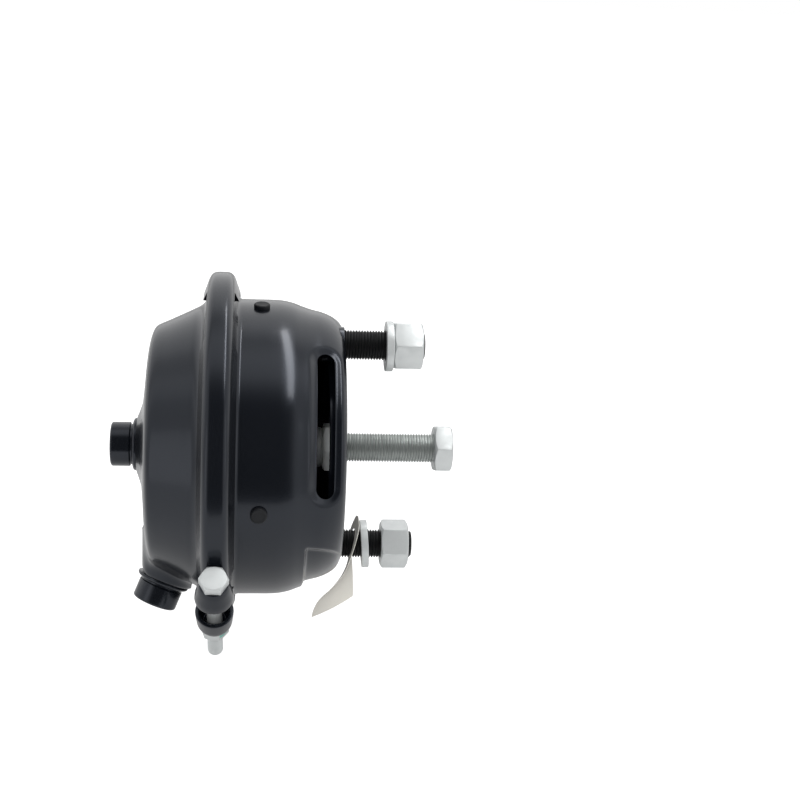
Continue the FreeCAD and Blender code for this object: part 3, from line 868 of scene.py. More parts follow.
@dataclass
class PressureHousing:
    """The shallow pressed cup with the domed end and the raised seat of the lower port.

    Attributes:
        port_angle: The angle of the lower port round the axis.
        port_tilt: How far that port leans towards the end, in degrees.
        centre_x: The point on the axis from which the pressed surface is measured.
        end_x: Where the end lies.
        wall: The sheet thickness in mm.
        seat_x: Where the middle of the lower port's seat lies along X.
        seat_reach: How far it lies from the axis.
        seat_half: The radius of the seat at its rim.
        seat_flare: How much wider the seat grows for each mm further down.
    """

    port_angle: float = -68.0
    port_tilt: float = 22.0
    centre_x: float = -82.0
    end_x: float = -109.4
    wall: float = 3.0
    seat_x: float = -94.2
    seat_reach: float = 73.0
    seat_half: float = 15.4
    seat_flare: float = 0.43

    @property
    def port_axis(self) -> Grid:
        """The lower port's direction, out of the housing."""
        tilt = math.radians(self.port_tilt)
        return outward(self.port_angle) * math.cos(tilt) + np.array([-math.sin(tilt), 0, 0])

    @property
    def seat(self) -> Grid:
        """The centre of the lower port's seat."""
        return outward(self.port_angle) * self.seat_reach + np.array([self.seat_x, 0, 0])

    def outline(self, inside: bool) -> Grid:
        """One outline of the sheet from the port's edge to the flange's root, as (x, radius).

        Args:
            inside: True for the inner surface.

        Returns:
            The points of the outline.
        """
        if inside:
            e = self.end_x + self.wall
            points = [
                (e, PORT_BORE), (e, 14.0), (e + 0.8, 16.6), (e + 3.0, 23.6), (e + 4.0, 31.0), (e + 5.0, 39.0),
                (e + 6.1, 48.0), (e + 6.9, 56.6), (e + 7.6, 59.4), (e + 8.6, 61.4), (e + 10.0, 62.6),
                (-92.3, 64.8), (-84.3, 68.6), (-79.5, 71.0),
            ]
            return np.array(spline(points, 2.4))
        e = self.end_x
        points = [
            (e, PORT_BORE), (e, 15.0), (e + 0.8, 17.5), (e + 2.9, 24.0), (e + 4.0, 31.0), (e + 5.0, 39.0),
            (e + 6.1, 48.0), (e + 7.0, 57.0), (e + 7.9, 61.0), (e + 9.2, 63.8), (e + 11.2, 65.4), (-92.3, 68.1),
            (-84.3, 71.9), (-79.5, 74.3),
        ]
        return np.array(spline(points, 0.7))

    def field_at(self, points: Grid, base: Grid, reach: Grid, inset: float) -> Grid:
        """How far outside the cup and its seat each point is, about, in mm.

        Args:
            points: The points.
            base: The cup's own reach along each point's ray.
            reach: How far along its ray each point is.
            inset: How far inside the outer surface the wanted one lies.

        Returns:
            Negative inside, positive outside.
        """
        cup = reach - base
        off = points - (self.seat - self.port_axis * inset)
        tall = off @ self.port_axis
        wide = np.linalg.norm(off - tall[..., None] * self.port_axis, axis=-1)
        side = (wide - (self.seat_half - inset - np.minimum(tall, 0) * self.seat_flare)) * 0.92
        end = self.end_x + 3.15 + inset - points[..., 0]
        seat = smooth_max(smooth_max(smooth_max(side, tall, 1.6), end, 5.0), -tall - 23.0, 1.0)
        return smooth_min(cup, seat, 5.0)

    def surface(self, inside: bool, angle: Grid) -> Grid:
        """One surface of the sheet, as rows from the axis out by columns round the axis.

        Args:
            inside: True for the inner surface.
            angle: The angles of the columns in radians.

        Returns:
            The points of the surface in mm.
        """
        outline = self.outline(inside)
        centre = np.array([self.centre_x, 0.0, 0.0])
        flat = np.stack([outline[:, 0] - self.centre_x, outline[:, 1]], -1)
        base = np.linalg.norm(flat, axis=1)
        way = flat / base[:, None]
        spokes = np.cos(angle)[:, None] * np.array([0, -1.0, 0]) + np.sin(angle)[:, None] * np.array([0, 0, 1.0])
        rays = way[:, None, 0:1] * np.array([1.0, 0, 0]) + way[:, None, 1:2] * spokes[None]
        base_grid = np.repeat(base[:, None], len(angle), 1)
        low = base_grid * 0.6
        high = base_grid * 0 + 95.0
        for _ in range(26):
            middle = (low + high) / 2
            spots = centre + rays * middle[..., None]
            outside = self.field_at(spots, base_grid, middle, self.wall * inside) > 0
            high = np.where(outside, middle, high)
            low = np.where(outside, low, middle)
        return centre + rays * ((low + high) / 2)[..., None]

    def build(self) -> None:
        """Make the housing."""
        angle = np.radians(np.concatenate([np.arange(-120.0, -16.0, 0.75), np.arange(-16.0, 240.0, 1.6)]))
        outer = self.surface(False, angle)
        inner = self.surface(True, angle)
        lip = spline([(-79.5, 74.3), (-76.6, 75.8), (-74.2, 78.0), (-72.9, 80.8), (-72.69, 83.2)], 0.7)[1:]
        lip += rounded([(-72.4, 84.0), (-69.88, 91.0, 0.5), (-66.6, 91.0, 0.4)], 3)
        lip += [(-66.6, 80.6), (-69.9, 79.2), (-71.8, 75.8), (-75.2, 73.1)]
        rim = turned(lip, angle, Frame())
        shell = mesh_from_grid("pressure_housing_shell", np.concatenate([outer, rim, inner[::-1]]), True, True)
        reach = Frame(origin=tuple(self.seat), axis=tuple(self.port_axis), side=(0, 0, 1))
        tool = lathe("port_tool", bar(-20.0, 20.0, PORT_BORE), reach, 64)
        carve(shell, tool)
        dress(shell, ENAMEL, "pressure_housing")


@dataclass
class PortBoss:
    """A round port boss with a thin flange, a turned groove and a threaded bore.

    Attributes:
        name: The piece's name.
        node: The node that it stands for.
        origin: Where its flange sits, in mm.
        axis: Which way it points.
        radius: The radius of the boss.
        reach: How far it stands out.
    """

    name: str
    node: str
    origin: Triple
    axis: Triple
    radius: float = 12.0
    reach: float = 14.0

    def build(self) -> None:
        """Make the boss."""
        r, reach = self.radius, self.reach
        crest, root = PORT_BORE + 0.1, PORT_BORE + 0.75
        outline = rounded(
            [
                (0.0, PORT_BORE), (0.0, r + 2.3, 0.2), (1.3, r + 2.3, 0.6), (2.2, r + 1.2, 0.8),
                (2.3, r - 1.0, 0.3), (3.5, r - 1.0, 0.3), (3.7, r, 0.3), (reach - 0.8, r, 0.4),
                (reach, r - 0.8, 0.4), (reach, PORT_BORE + 1.7, 0.2), (reach - 1.6, crest, 0.2),
            ]
        )
        ridges = []
        x = reach - 2.4
        while x > 1.4:
            ridges += [(x, crest), (x - 0.25, crest), (x - 0.65, root), (x - 0.95, root)]
            x -= FINE_PITCH
        boss = lathe(self.name, outline + ridges, Frame(origin=self.origin, axis=self.axis, side=(0, 0, 1)), 128)
        dress(boss, ENAMEL, self.node)


@dataclass
class ClampRing:
    """The split channel that clamps the housings, its reliefs, its bolt cups and its fastener.

    Attributes:
        centre_x: The middle of the ring along X.
        crown: The radius over the crown.
        leg_end: The radius that the legs reach in to.
        relief_end: The same inside a relief.
        joint_angle: The angle of the joint.
        joint_radius: How far the fastener lies from the chamber's axis.
        split_half: Half the gap in the crown.
        cup_near: Where the head's cup and the nut's cup start, from the middle of the joint.
        head_seat: Where the bolt's head sits.
        nut_seat: Where the nut sits, on the other side.
        nut_height: The height of the nut.
        relief_angles: The middle of each relief.
        relief_half: Half the length of a relief, in degrees.
    """

    centre_x: float = -65.0
    crown: float = 94.4
    leg_end: float = 84.0
    relief_end: float = 90.6
    joint_angle: float = -28.5
    joint_radius: float = 100.5
    split_half: float = 9.5
    cup_near: Pair = (9.5, 3.5)
    head_seat: float = 23.1
    nut_seat: float = 16.0
    nut_height: float = 7.0
    relief_angles: Pair = (73.0, -133.0)
    relief_half: float = 13.2

    def leg_reach(self, degrees: Grid) -> Grid:
        """Where the legs end at each angle, raised towards the crown inside the reliefs.

        Args:
            degrees: The angles round the axis.

        Returns:
            The radius of the legs' ends at each angle.
        """
        reach = np.full_like(degrees, self.leg_end)
        for middle in self.relief_angles:
            away = np.abs((degrees - middle + 180) % 360 - 180)
            share = 1 - smooth_step(away, self.relief_half - 0.9, self.relief_half + 2.2)
            reach = np.maximum(reach, self.leg_end + (self.relief_end - self.leg_end) * share)
        return reach

    def channel(self) -> Thing:
        """The channel as one sweep round the axis, open at the joint.

        Returns:
            The object.
        """
        split = math.degrees(self.split_half / self.crown)
        ends = [self.joint_angle + split, self.joint_angle + 360 - split]
        steps = [np.linspace(ends[0], ends[1], 320)]
        for middle in self.relief_angles:
            for side in (1, -1):
                edge = middle % 360 + side * self.relief_half
                steps.append(np.linspace(edge - 3.5, edge + 3.5, 30))
        degrees = np.unique(np.concatenate(steps))
        degrees = degrees[(degrees >= ends[0]) & (degrees <= ends[1])]
        reach = self.leg_reach(degrees)[:, None]
        c = self.crown
        outer = spline(
            [
                (9.4, 84.0), (8.4, 86.8), (7.4, c - 4.8), (6.8, c - 3.2), (5.9, c - 1.7), (4.6, c - 0.6),
                (3.0, c - 0.1), (0.0, c),
            ],
            0.3,
        )
        inner = spline([(7.4, 84.0), (4.877, 91.0), (4.3, c - 2.6), (3.0, c - 2.15), (0.0, c - 2.1)], 0.3)
        share = (1 - np.linspace(0, 1, 16)) ** 2
        sides = []
        for table in (outer, inner):
            half, radius = np.array(table).T
            top = radius.max()
            radii = top - (top - reach) * share[None]
            sides.append((np.interp(radii, np.maximum.accumulate(radius), half), radii))
        (out_half, out_radius), (in_half, in_radius) = sides
        x = np.concatenate([-out_half, out_half[:, -2::-1], in_half, -in_half[:, -2::-1]], 1)
        r = np.concatenate([out_radius, out_radius[:, -2::-1], in_radius, in_radius[:, -2::-1]], 1)
        angle = np.radians(degrees)[:, None] + 0 * x
        points = Frame(origin=(self.centre_x, 0, 0), side=(0, -1, 0)).place(x, r, angle)
        return mesh_from_grid("clamp_channel", points, False, True, caps=True)

    def joint_place(self, along: float, sign: int = 1) -> Frame:
        """A place on the joint's axis, some way along it from the middle, looking up or down it.

        Args:
            along: How far from the middle, upwards, in mm.
            sign: 1 to look up, -1 to look down.

        Returns:
            The place.
        """
        out, up = outward(self.joint_angle), onward(self.joint_angle)
        spot = np.array([self.centre_x, 0, 0]) + out * self.joint_radius + up * along
        return Frame(tuple(spot), tuple(up * sign), tuple(out))

    def cup(self, sign: int) -> Thing:
        """One hollow bolt cup, wide at the gap and narrow at the bolt.

        Args:
            sign: 1 for the cup of the head, -1 for the cup of the nut.

        Returns:
            The object.
        """
        near = self.cup_near[0 if sign > 0 else 1]
        far, end = (self.head_seat, 7.0) if sign > 0 else (self.nut_seat, 8.0)
        outline = [
            (near, 7.7, 0.3), (near, 9.7, 0.5), (near + 3.6, 9.5, 2.5), (far - 2.6, end + 1.0, 2.0),
            (far, end, 1.0), (far, 4.4, 0.3), (far - 2.4, 4.4, 0.3), (far - 2.6, end - 1.9, 0.5),
            (near + 3.6, 7.5, 2.0),
        ]
        cup = lathe("cup", outline, self.joint_place(0.0, sign), 96)
        limit = self.crown - 1.0
        for vertex in cup.data.vertices:
            y, z = vertex.co.y / MM, vertex.co.z / MM
            radial = math.hypot(y, z)
            if radial < limit:
                vertex.co.y *= limit / radial
                vertex.co.z *= limit / radial
        clean(cup)
        return cup

    def build(self) -> None:
        """Make the ring and its fastener."""
        ring = join("clamp_ring_channel", [self.channel(), self.cup(1), self.cup(-1)])
        dress(ring, ENAMEL, "clamp_ring")
        head = hexagon("head", SMALL_FLATS, 5.0, self.joint_place(self.head_seat), ends=HexEnd.OUTER, spin=2.0)
        rod_place = self.joint_place(self.head_seat, -1)
        plain = lathe("plain", bar(0.0, 37.0, 3.95), rod_place, 48)
        thread = threaded("thread", 36.0, 67.6, 4.0, 1.25, rod_place, (0.6, 0.8))
        dress(join("clamp_bolt_body", [head, plain, thread]), ZINC, "clamp_bolt")
        nut_place = self.joint_place(-self.nut_seat - self.nut_height)
        nut = hexagon("clamp_nut_hex", SMALL_FLATS, self.nut_height, nut_place, bore=4.02, spin=12.0)
        collar = [(-3.2, 4.02), (-3.2, 4.9, 0.4), (-0.4, 5.9, 0.5), (0.1, 5.9), (0.1, 4.02)]
        nut = join("clamp_nut_body", [nut, lathe("collar", collar, nut_place, 72)])
        dress(nut, MARKED_ZINC, "clamp_nut")


@dataclass
class MountingStud:
    """One mounting stud with its nut and washer.

    Attributes:
        name: Upper or lower.
        height: The stud's height over the axis, in mm.
        nut_start: Where the nut starts along X.
        washer_start: Where the washer starts along X.
        washer_drop: How far the washer hangs below the stud's axis.
        lean: How far the washer leans, in degrees.
        spin: How far the nut's corners are turned round.
        length: How far the thread stands out of the mounting face.
        nut_height: The height of the nut.
    """

    name: str
    height: float
    nut_start: float
    washer_start: float
    washer_drop: float
    lean: float
    spin: float
    length: float = 43.0
    nut_height: float = 15.5

    def build(self) -> None:
        """Make the stud, its nut and its washer."""
        place = Frame(origin=(0, 0, self.height))
        outline = [(-15.0, 0.0), (-15.0, 9.0, 0.8), (-12.0, 9.0, 0.3), (-12.0, 0.0)]
        head = lathe("stud_head", outline, place, 72)
        neck = lathe("stud_neck", bar(-12.2, 0.2, 7.9), place, 72)
        thread = threaded("stud_thread", 0.0, self.length, 7.97, FINE_PITCH, place, (0.6, 1.3))
        stud = join(f"{self.name}_stud_threaded", [head, neck, thread])
        dress(stud, BLACK_OXIDE, f"{self.name}_stud")
        nut_place = Frame(origin=(self.nut_start, 0, self.height), side=(0, 0, 1))
        name = f"{self.name}_hex_nut"
        nut = hexagon(name, WIDE_FLATS, self.nut_height, nut_place, bore=8.0, spin=self.spin, edge=LARGE_EDGE)
        dress(nut, ZINC, f"{self.name}_nut")
        lean = math.radians(self.lean)
        axis = (math.cos(lean), 0.0, math.sin(lean))
        washer_place = Frame(origin=(self.washer_start, 0, self.height - self.washer_drop), axis=axis)
        outline = [(0.0, 8.5, 0.25), (0.0, 13.5, 0.5), (4.0, 13.5, 0.5), (4.0, 8.5, 0.25)]
        washer = lathe(f"{self.name}_thick_washer", outline, washer_place, 128)
        dress(washer, ZINC, f"{self.name}_washer")


@dataclass
class PushRod:
    """The push plate, the sleeve, the lock nut and the adjusting bolt.

    Attributes:
        reach: Where the bolt's head starts along X.
        head: The height of that head.
        nut_end: Where the sleeve ends and the lock nut starts.
        bore: The radius of the sleeve's bore and of the nut's.
    """

    reach: float = 51.8
    head: float = 10.0
    nut_end: float = -9.6
    bore: float = 8.06

    def build(self) -> None:
        """Make the pieces that move with the rod."""
        outline = [
            (-96.4, 0.0), (-96.4, 41.0, 2.0), (-95.2, 43.8, 1.5), (-92.8, 45.0, 1.5), (-91.2, 45.0, 0.8),
            (-92.4, 41.4, 2.0), (-93.4, 39.8, 2.0), (-93.4, 0.0),
        ]
        plate = lathe("push_plate_pressed", outline)
        dress(plate, ZINC, "push_plate", Body.PUSH_ROD)
        end = self.nut_end
        outline = [
            (-93.4, 0.0), (-93.4, 17.0), (-91.4, 17.0, 1.0), (-86.8, 11.6, 2.0), (-83.8, 11.0, 2.0),
            (end - 1.2, 11.0, 0.4), (end, 9.8, 0.4), (end, self.bore), (-72.0, self.bore), (-72.0, 0.0),
        ]
        sleeve = lathe("push_rod_sleeve", outline, segments=96)
        dress(sleeve, ZINC, "push_rod", Body.PUSH_ROD)
        nut_place = Frame(origin=(end, 0, 0), side=(0, 0, 1))
        lock = hexagon("lock_nut_hex", WIDE_FLATS, 8.0, nut_place, bore=self.bore, spin=14.0, edge=LARGE_EDGE)
        dress(lock, ZINC, "lock_nut", Body.PUSH_ROD)
        thread = threaded("screw_thread", -66.0, self.reach + 0.3, 7.98, FINE_PITCH, None, (1.2, 0.4))
        head_place = Frame(origin=(self.reach, 0, 0), side=(0, 0, 1))
        top = hexagon("screw_top", WIDE_FLATS, self.head, head_place, spin=22.0, edge=LARGE_EDGE)
        screw = dress(join("adjusting_bolt_threaded", [thread, top]), ZINC, "adjusting_bolt", Body.SCREW)
        screw.data.materials.append(ROLLED_ZINC.build())
        for face in screw.data.polygons:
            face.material_index = int(face.center.x < (self.reach - 0.2) * MM)


@dataclass
class Interior:
    """The return spring, its seat and the diaphragm.

    Attributes:
        coil: The radius of the spring's turns.
        wire: The radius of its wire.
        start: Where the wire's middle starts along X, at the push plate.
        end: Where it ends, at the seat.
        turns: The number of turns.
    """

    coil: float = 36.0
    wire: float = 2.5
    start: float = -90.85
    end: float = -8.55
    turns: float = 4.5

    def spring(self) -> Thing:
        """The return spring as a swept round wire, closed at both ends.

        Returns:
            The object.
        """
        steps = int(self.turns * 48)
        share = np.linspace(0, 1, steps + 1)
        turn = share * self.turns * 2 * math.pi
        x = self.start + (self.end - self.start) * share
        centre = np.stack([x, -self.coil * np.cos(turn), -self.coil * np.sin(turn)], -1)
        along = np.gradient(centre, axis=0)
        along /= np.linalg.norm(along, axis=1)[:, None]
        out = np.stack([0 * x, -np.cos(turn), -np.sin(turn)], -1)
        up = np.cross(along, out)
        ring = np.linspace(0, 2 * math.pi, 16, endpoint=False)[None, :, None]
        points = centre[:, None] + self.wire * (np.cos(ring) * out[:, None] + np.sin(ring) * up[:, None])
        return mesh_from_grid("return_spring_wire", points, False, True, caps=True)

    def build(self) -> None:
        """Make the pieces inside the chamber."""
        for obj, finish, node, start, end in (
            (self.spring(), PHOSPHATE, "return_spring", -0.0086, -0.0908),
            (self.diaphragm(), RUBBER, "diaphragm", -0.0680, -0.0953),
        ):
            dress(obj, finish, node, None)
            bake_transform(obj)
        outline = [
            (-6.0, 17.0, 0.4), (-6.0, 45.0, 1.0), (-8.0, 46.6, 0.8), (-8.0, 48.4, 0.5), (-5.0, 48.4, 1.0),
            (-3.0, 46.6, 1.0), (-3.0, 17.0, 0.4),
        ]
        dress(lathe("spring_seat_ring", outline), ENAMEL, "spring_seat")

    def diaphragm(self) -> Thing:
        """The moulded cup that seals the air side.

        Returns:
            The object.
        """
        outer = spline(
            [
                (-99.6, 0.0), (-99.6, 22.0), (-99.6, 45.0), (-99.2, 50.0), (-98.4, 54.5), (-97.5, 58.0),
                (-96.2, 60.7), (-92.3, 63.6), (-79.5, 70.0), (-75.0, 72.2), (-71.1, 75.2), (-69.0, 78.2),
            ],
            2.0,
        )
        bead = [(-66.6, 79.6), (-66.6, 91.0), (-63.4, 91.0), (-63.4, 79.8)]
        inner = spline(
            [
                (-66.2, 75.2), (-69.5, 72.0), (-75.0, 69.2), (-90.8, 61.3), (-93.8, 59.2), (-95.0, 56.4),
                (-95.9, 52.6), (-96.8, 45.0), (-96.8, 22.0), (-96.8, 0.0),
            ],
            2.0,
        )
        return lathe("diaphragm_cup", outer + bead + inner, segments=128)


@dataclass
class DrainPlugs:
    """The plugs in the drain holes of the mounting housing."""

    seat: float = 80.12
    seat_x: float = -43.8

    def build(self) -> None:
        """Make the four plugs."""
        outline = [
            (-5.5, 0.0), (-5.5, 3.2, 0.2), (-4.4, 4.1, 0.3), (-4.2, 3.2), (-0.4, 3.2), (-0.3, 4.2, 0.2),
            (1.7, 4.2, 0.6), (2.2, 3.6, 0.4), (2.0, 2.6, 0.3), (2.0, 0.0),
        ]
        for name, degrees in (("top", 90.0), ("front", 0.0), ("bottom", -90.0), ("rear", 180.0)):
            origin = np.array([self.seat_x, 0, 0]) + outward(degrees) * self.seat
            plug = lathe(f"drain_plug_{name}", outline, Frame(tuple(origin), tuple(outward(degrees)), (1, 0, 0)), 64)
            dress(plug, PLUG_PLASTIC, f"vent_plug_{name}")


@dataclass
class PaperTag:
    """The blank card tag that hangs on the lower stud, curled where it drops past the housing.

    Attributes:
        sheet: The card's thickness.
        hole: The radius of the hole for the stud.
        curl: How far the card's long edges curl up at its lower end.
        sections: The middle, the sideways direction and half the width at places down the card.
    """

    sheet: float = 0.35
    hole: float = 8.6
    curl: float = 1.6
    sections: tuple[tuple[Triple, Triple, float], ...] = (
        ((12.8, 0.0, -45.6), (0.0, 1.0, 0.0), 5.0),
        ((11.8, 0.0, -49.0), (0.0, 1.0, 0.0), 10.5),
        ((9.0, -0.3, -60.3), (0.0, 1.0, 0.0), 12.5),
        ((7.6, -0.6, -72.0), (0.2, 0.98, 0.0), 12.8),
        ((5.0, -2.0, -81.0), (0.5, 0.86, 0.1), 12.9),
        ((1.9, -3.0, -90.5), (0.8, 0.55, 0.25), 13.0),
        ((0.0, -3.6, -101.0), (0.88, 0.12, 0.46), 13.4),
    )

    def build(self) -> None:
        """Make the tag."""
        middles, sides, halves = (np.array(column, float) for column in zip(*self.sections))
        knots = np.linspace(0, 1, len(middles))
        fine = np.linspace(0, 1, 61)

        def ease(values: Grid) -> Grid:
            """Smooth values between the sections.

            Args:
                values: One row for each section.

            Returns:
                One row for each fine step.
            """
            cols = values.reshape(len(knots), -1)
            out = []
            for col in cols.T:
                pts = spline(list(zip(knots * 100, col)), 1.0)
                out.append(np.interp(fine * 100, [p[0] for p in pts], [p[1] for p in pts]))
            return np.array(out).T

        middle, side, half = ease(middles), ease(sides), ease(halves)[:, 0]
        side /= np.linalg.norm(side, axis=1)[:, None]
        across = np.linspace(-1, 1, 49)
        front = middle[:, None] + side[:, None] * (half[:, None] * across[None])[..., None]
        along = np.gradient(middle, axis=0)
        normal = np.cross(side, along)
        normal /= np.linalg.norm(normal, axis=1)[:, None]
        curl = (across**2)[None] * smooth_step(fine, 0.5, 1.0)[:, None] * self.curl
        front = front + normal[:, None] * curl[..., None]
        offset = normal[:, None] * self.sheet / 2
        rows = np.concatenate([front + offset, (front - offset)[:, ::-1]], 1)
        tag = mesh_from_grid("paper_tag_card", rows, False, True, caps=True)
        carve(tag, lathe("tag_tool", bar(-8.0, 22.0, self.hole), Frame(origin=(0, 0, -60.6)), 64))
        dress(tag, CARD, "paper_tag")


@dataclass
class Studio:
    """The floor, the lights, the white surround and the camera.

    Attributes:
        azimuth: The camera's turn round Z, in degrees.
        pivot_x: The point on the chamber's axis that the camera is placed from, in mm.
        aim: What the lamps point at, in m.
        side_light: How bright the room is at both sides, in reflections.
        hoop: The same by the angle round the X axis, 0 on the camera's side and 90 overhead.
        fill: How bright the room is as soft light.
        floor_glow: How much light of its own the floor sends to the camera.
        floor_mirror: How much of that is seen in reflections.
        floor_reach: Where the floor starts and ends along Y, and half its width, in mm.
    """

    azimuth: float = -6.541
    elevation: float = 23.068
    roll: float = 3.61
    focal_px: float = 1370.4
    photo_px: float = 800.0
    sensor_mm: float = 36.0
    pivot_x: float = -41.32
    distance: float = 750.0
    shift_right: float = 72.73
    shift_up: float = 29.73
    aim: Triple = (-0.04, 0.0, 0.0)
    side_light: float = 0.7
    hoop: tuple[Pair, ...] = (
        (-180, 1.0), (-110, 1.0), (-90, 0.3), (-60, 0.1), (58, 0.1), (66, 0.25), (79, 0.9), (96, 1.0),
        (113, 0.5), (129, 1.0), (180, 1.0),
    )
    fill: float = 0.3
    floor_drop: float = 6.0
    floor_glow: float = 0.92
    floor_mirror: float = 0.3
    floor_reach: Triple = (-430.0, 3000.0, 2500.0)

    def camera(self) -> None:
        """Set the camera where the photograph was taken from."""
        az, el, roll = (math.radians(v) for v in (self.azimuth, self.elevation, self.roll))
        back = Vector((math.sin(az) * math.cos(el), -math.cos(az) * math.cos(el), math.sin(el)))
        right = Vector((math.cos(az), math.sin(az), 0.0))
        up = back.cross(right)
        turned_right = right * math.cos(roll) + up * math.sin(roll)
        turned_up = up * math.cos(roll) - right * math.sin(roll)
        shift = right * self.shift_right + up * self.shift_up
        place = (Vector((self.pivot_x, 0, 0)) + shift + back * self.distance) * MM
        data = bpy.data.cameras.new("photo_camera")
        data.sensor_width = self.sensor_mm
        data.lens = self.focal_px / self.photo_px * self.sensor_mm
        data.clip_start = 0.01
        data.clip_end = 20.0
        camera = bpy.data.objects.new("photo_camera", data)
        turn = Matrix((turned_right, turned_up, back)).transposed().to_4x4()
        camera.matrix_world = Matrix.Translation(place) @ turn
        bpy.context.scene.collection.objects.link(camera)
        bpy.context.scene.camera = camera

    def lamp(self, name: str, place: Triple, size: Pair, watts: float, mirrored: bool = True) -> None:
        """Add one soft box aimed at the chamber, seen in reflections or not.

        Args:
            name: The lamp's name.
            place: Where it stands, in m.
            size: Its width and height in m.
            watts: Its power.
            mirrored: Whether reflections show it.
        """
        data = bpy.data.lights.new(name, "AREA")
        data.shape = "RECTANGLE"
        data.size, data.size_y = size
        data.energy = watts
        lamp = bpy.data.objects.new(name, data)
        lamp.location = place
        lamp.rotation_euler = (Vector(place) - Vector(self.aim)).to_track_quat("Z", "Y").to_euler()
        lamp.visible_glossy = mirrored
        bpy.context.scene.collection.objects.link(lamp)

    def surround(self) -> None:
        """A world that is white to the camera, a room with a dark side in reflections, and softer as light."""
        world = bpy.data.worlds.new("studio_surround")
        tree = emptied(world)
        rays = add_node(tree, "ShaderNodeLightPath").outputs
        place = add_node(tree, "ShaderNodeTexCoord").outputs["Generated"]
        way = add_node(tree, "ShaderNodeSeparateXYZ", {"0": place}).outputs
        across = add_node(tree, "ShaderNodeMath", {"0": way["X"]}, operation="ABSOLUTE")
        links = {"Value": across, "From Min": 0.36, "From Max": 0.6, "To Max": self.side_light}
        sides = add_node(tree, "ShaderNodeMapRange", links, interpolation_type="SMOOTHSTEP")
        near = add_node(tree, "ShaderNodeMath", {"0": way["Y"], "1": -1.0}, operation="MULTIPLY")
        turn = add_node(tree, "ShaderNodeMath", {"0": way["Z"], "1": near}, operation="ARCTAN2")
        links = {"0": turn, "1": 1 / (2 * math.pi), "2": 0.5}
        share = add_node(tree, "ShaderNodeMath", links, operation="MULTIPLY_ADD")
        hoop = add_node(tree, "ShaderNodeValToRGB", {"Fac": share})
        stops = hoop.color_ramp.elements
        while len(stops) < len(self.hoop):
            stops.new(0.5)
        for stop, (degrees, level) in zip(stops, self.hoop):
            stop.position = degrees / 360 + 0.5
            stop.color = (level, level, level, 1.0)
        room = add_node(tree, "ShaderNodeMath", {"0": sides, "1": hoop}, operation="MAXIMUM")
        strength: Any = rays["Is Camera Ray"]
        for ray, level in (("Transmission", 1.0), ("Glossy", room), ("Diffuse", self.fill)):
            lit = add_node(tree, "ShaderNodeMath", {"0": rays[f"Is {ray} Ray"], "1": level}, operation="MULTIPLY")
            strength = add_node(tree, "ShaderNodeMath", {"0": strength, "1": lit}, operation="MAXIMUM")
        back = add_node(tree, "ShaderNodeBackground", {"Color": (1, 1, 1, 1), "Strength": strength})
        add_node(tree, "ShaderNodeOutputWorld", {"Surface": back})
        bpy.context.scene.world = world

    def floor(self) -> None:
        """A pale floor under the lowest point, which shows white and keeps the shadow."""
        height = min(p[2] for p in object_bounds()) / MM - self.floor_drop
        near, far, wide = self.floor_reach
        points = np.array([[-wide, near, height], [wide, near, height], [wide, far, height], [-wide, far, height]])
        floor = mesh_object("studio_floor", points, [(0, 1, 2, 3)])
        material = bpy.data.materials.new("pale_floor")
        tree = emptied(material)
        matt = add_node(tree, "ShaderNodeBsdfDiffuse", {"Color": (0.6, 0.6, 0.6, 1)})
        rays = add_node(tree, "ShaderNodeLightPath").outputs
        place = add_node(tree, "ShaderNodeNewGeometry").outputs["Position"]
        away = add_node(tree, "ShaderNodeVectorMath", {"0": place}, operation="LENGTH").outputs["Value"]
        links = {"Value": away, "From Min": 0.25, "From Max": 0.8, "To Min": self.floor_glow}
        level = add_node(tree, "ShaderNodeMapRange", links, interpolation_type="SMOOTHSTEP")
        glow = add_node(tree, "ShaderNodeEmission", {"Color": (1, 1, 1, 1), "Strength": level})
        both = add_node(tree, "ShaderNodeAddShader", {"0": matt, "1": glow})
        links = {"0": rays["Is Glossy Ray"], "1": self.floor_mirror}
        seen = add_node(tree, "ShaderNodeMath", links, operation="MULTIPLY")
        for ray in ("Camera", "Transmission"):
            seen = add_node(tree, "ShaderNodeMath", {"0": seen, "1": rays[f"Is {ray} Ray"]}, operation="MAXIMUM")
        mix = add_node(tree, "ShaderNodeMixShader", {"0": seen, "1": matt, "2": both})
        add_node(tree, "ShaderNodeOutputMaterial", {"Surface": mix})
        floor.data.materials.append(material)
        floor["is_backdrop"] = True

    def build(self) -> None:
        """Set the whole studio."""
        scene = bpy.context.scene
        scene.view_settings.view_transform = "Standard"
        self.camera()
        self.surround()
        self.floor()
        self.lamp("back_box", (-0.05, 0.85, 0.7), (1.2, 0.5), 5.0, mirrored=False)
        self.lamp("front_fill", (-0.14, -1.1, 0.5), (0.5, 0.5), 3.2, mirrored=False)
        self.lamp("camera_fill", (-0.13, -1.0, 0.46), (0.08, 0.08), 4.0, mirrored=False)
        self.lamp("strip_box", (0.28, 0.08, 0.95), (1.15, 0.16), 3.6)
        self.lamp("left_box", (-0.75, -0.55, 0.08), (0.25, 0.6), 0.25)
        self.lamp("right_box", (0.75, -0.5, 0.25), (0.25, 0.6), 0.25)


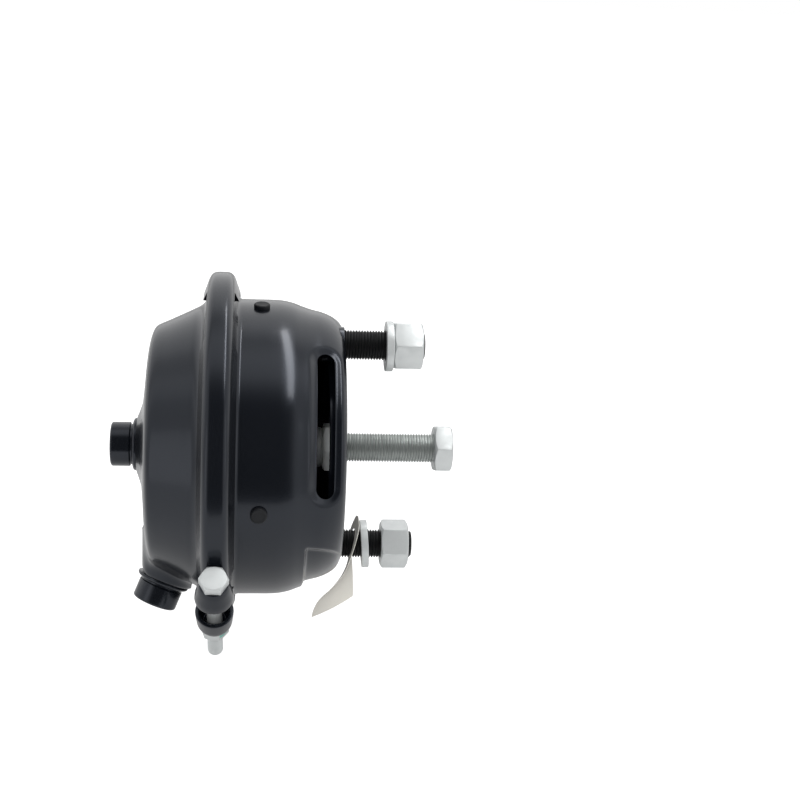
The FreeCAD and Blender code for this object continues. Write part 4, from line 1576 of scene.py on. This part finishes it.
def main() -> None:
    """Build every sub-assembly in order, then the studio."""
    housing = PressureHousing()
    parts = [
        MountingHousing(),
        housing,
        PortBoss("axial_port", "axial_port_boss", (housing.end_x, 0.0, 0.0), (-1.0, 0.0, 0.0)),
        PortBoss("lower_port", "lower_port_boss", tuple(housing.seat), tuple(housing.port_axis)),
        ClampRing(),
        MountingStud("upper", STUD_HALF, 26.3, 22.1, 0.45, 0.0, 19.0),
        MountingStud("lower", -STUD_HALF, 25.4, 14.4, 0.3, 4.0, 3.0),
        PushRod(),
        Interior(),
        DrainPlugs(),
        PaperTag(),
    ]
    for part in parts:
        part.build()
        log.info("built %s", type(part).__name__)
    Studio().build()


if __name__ == "__main__":
    main()
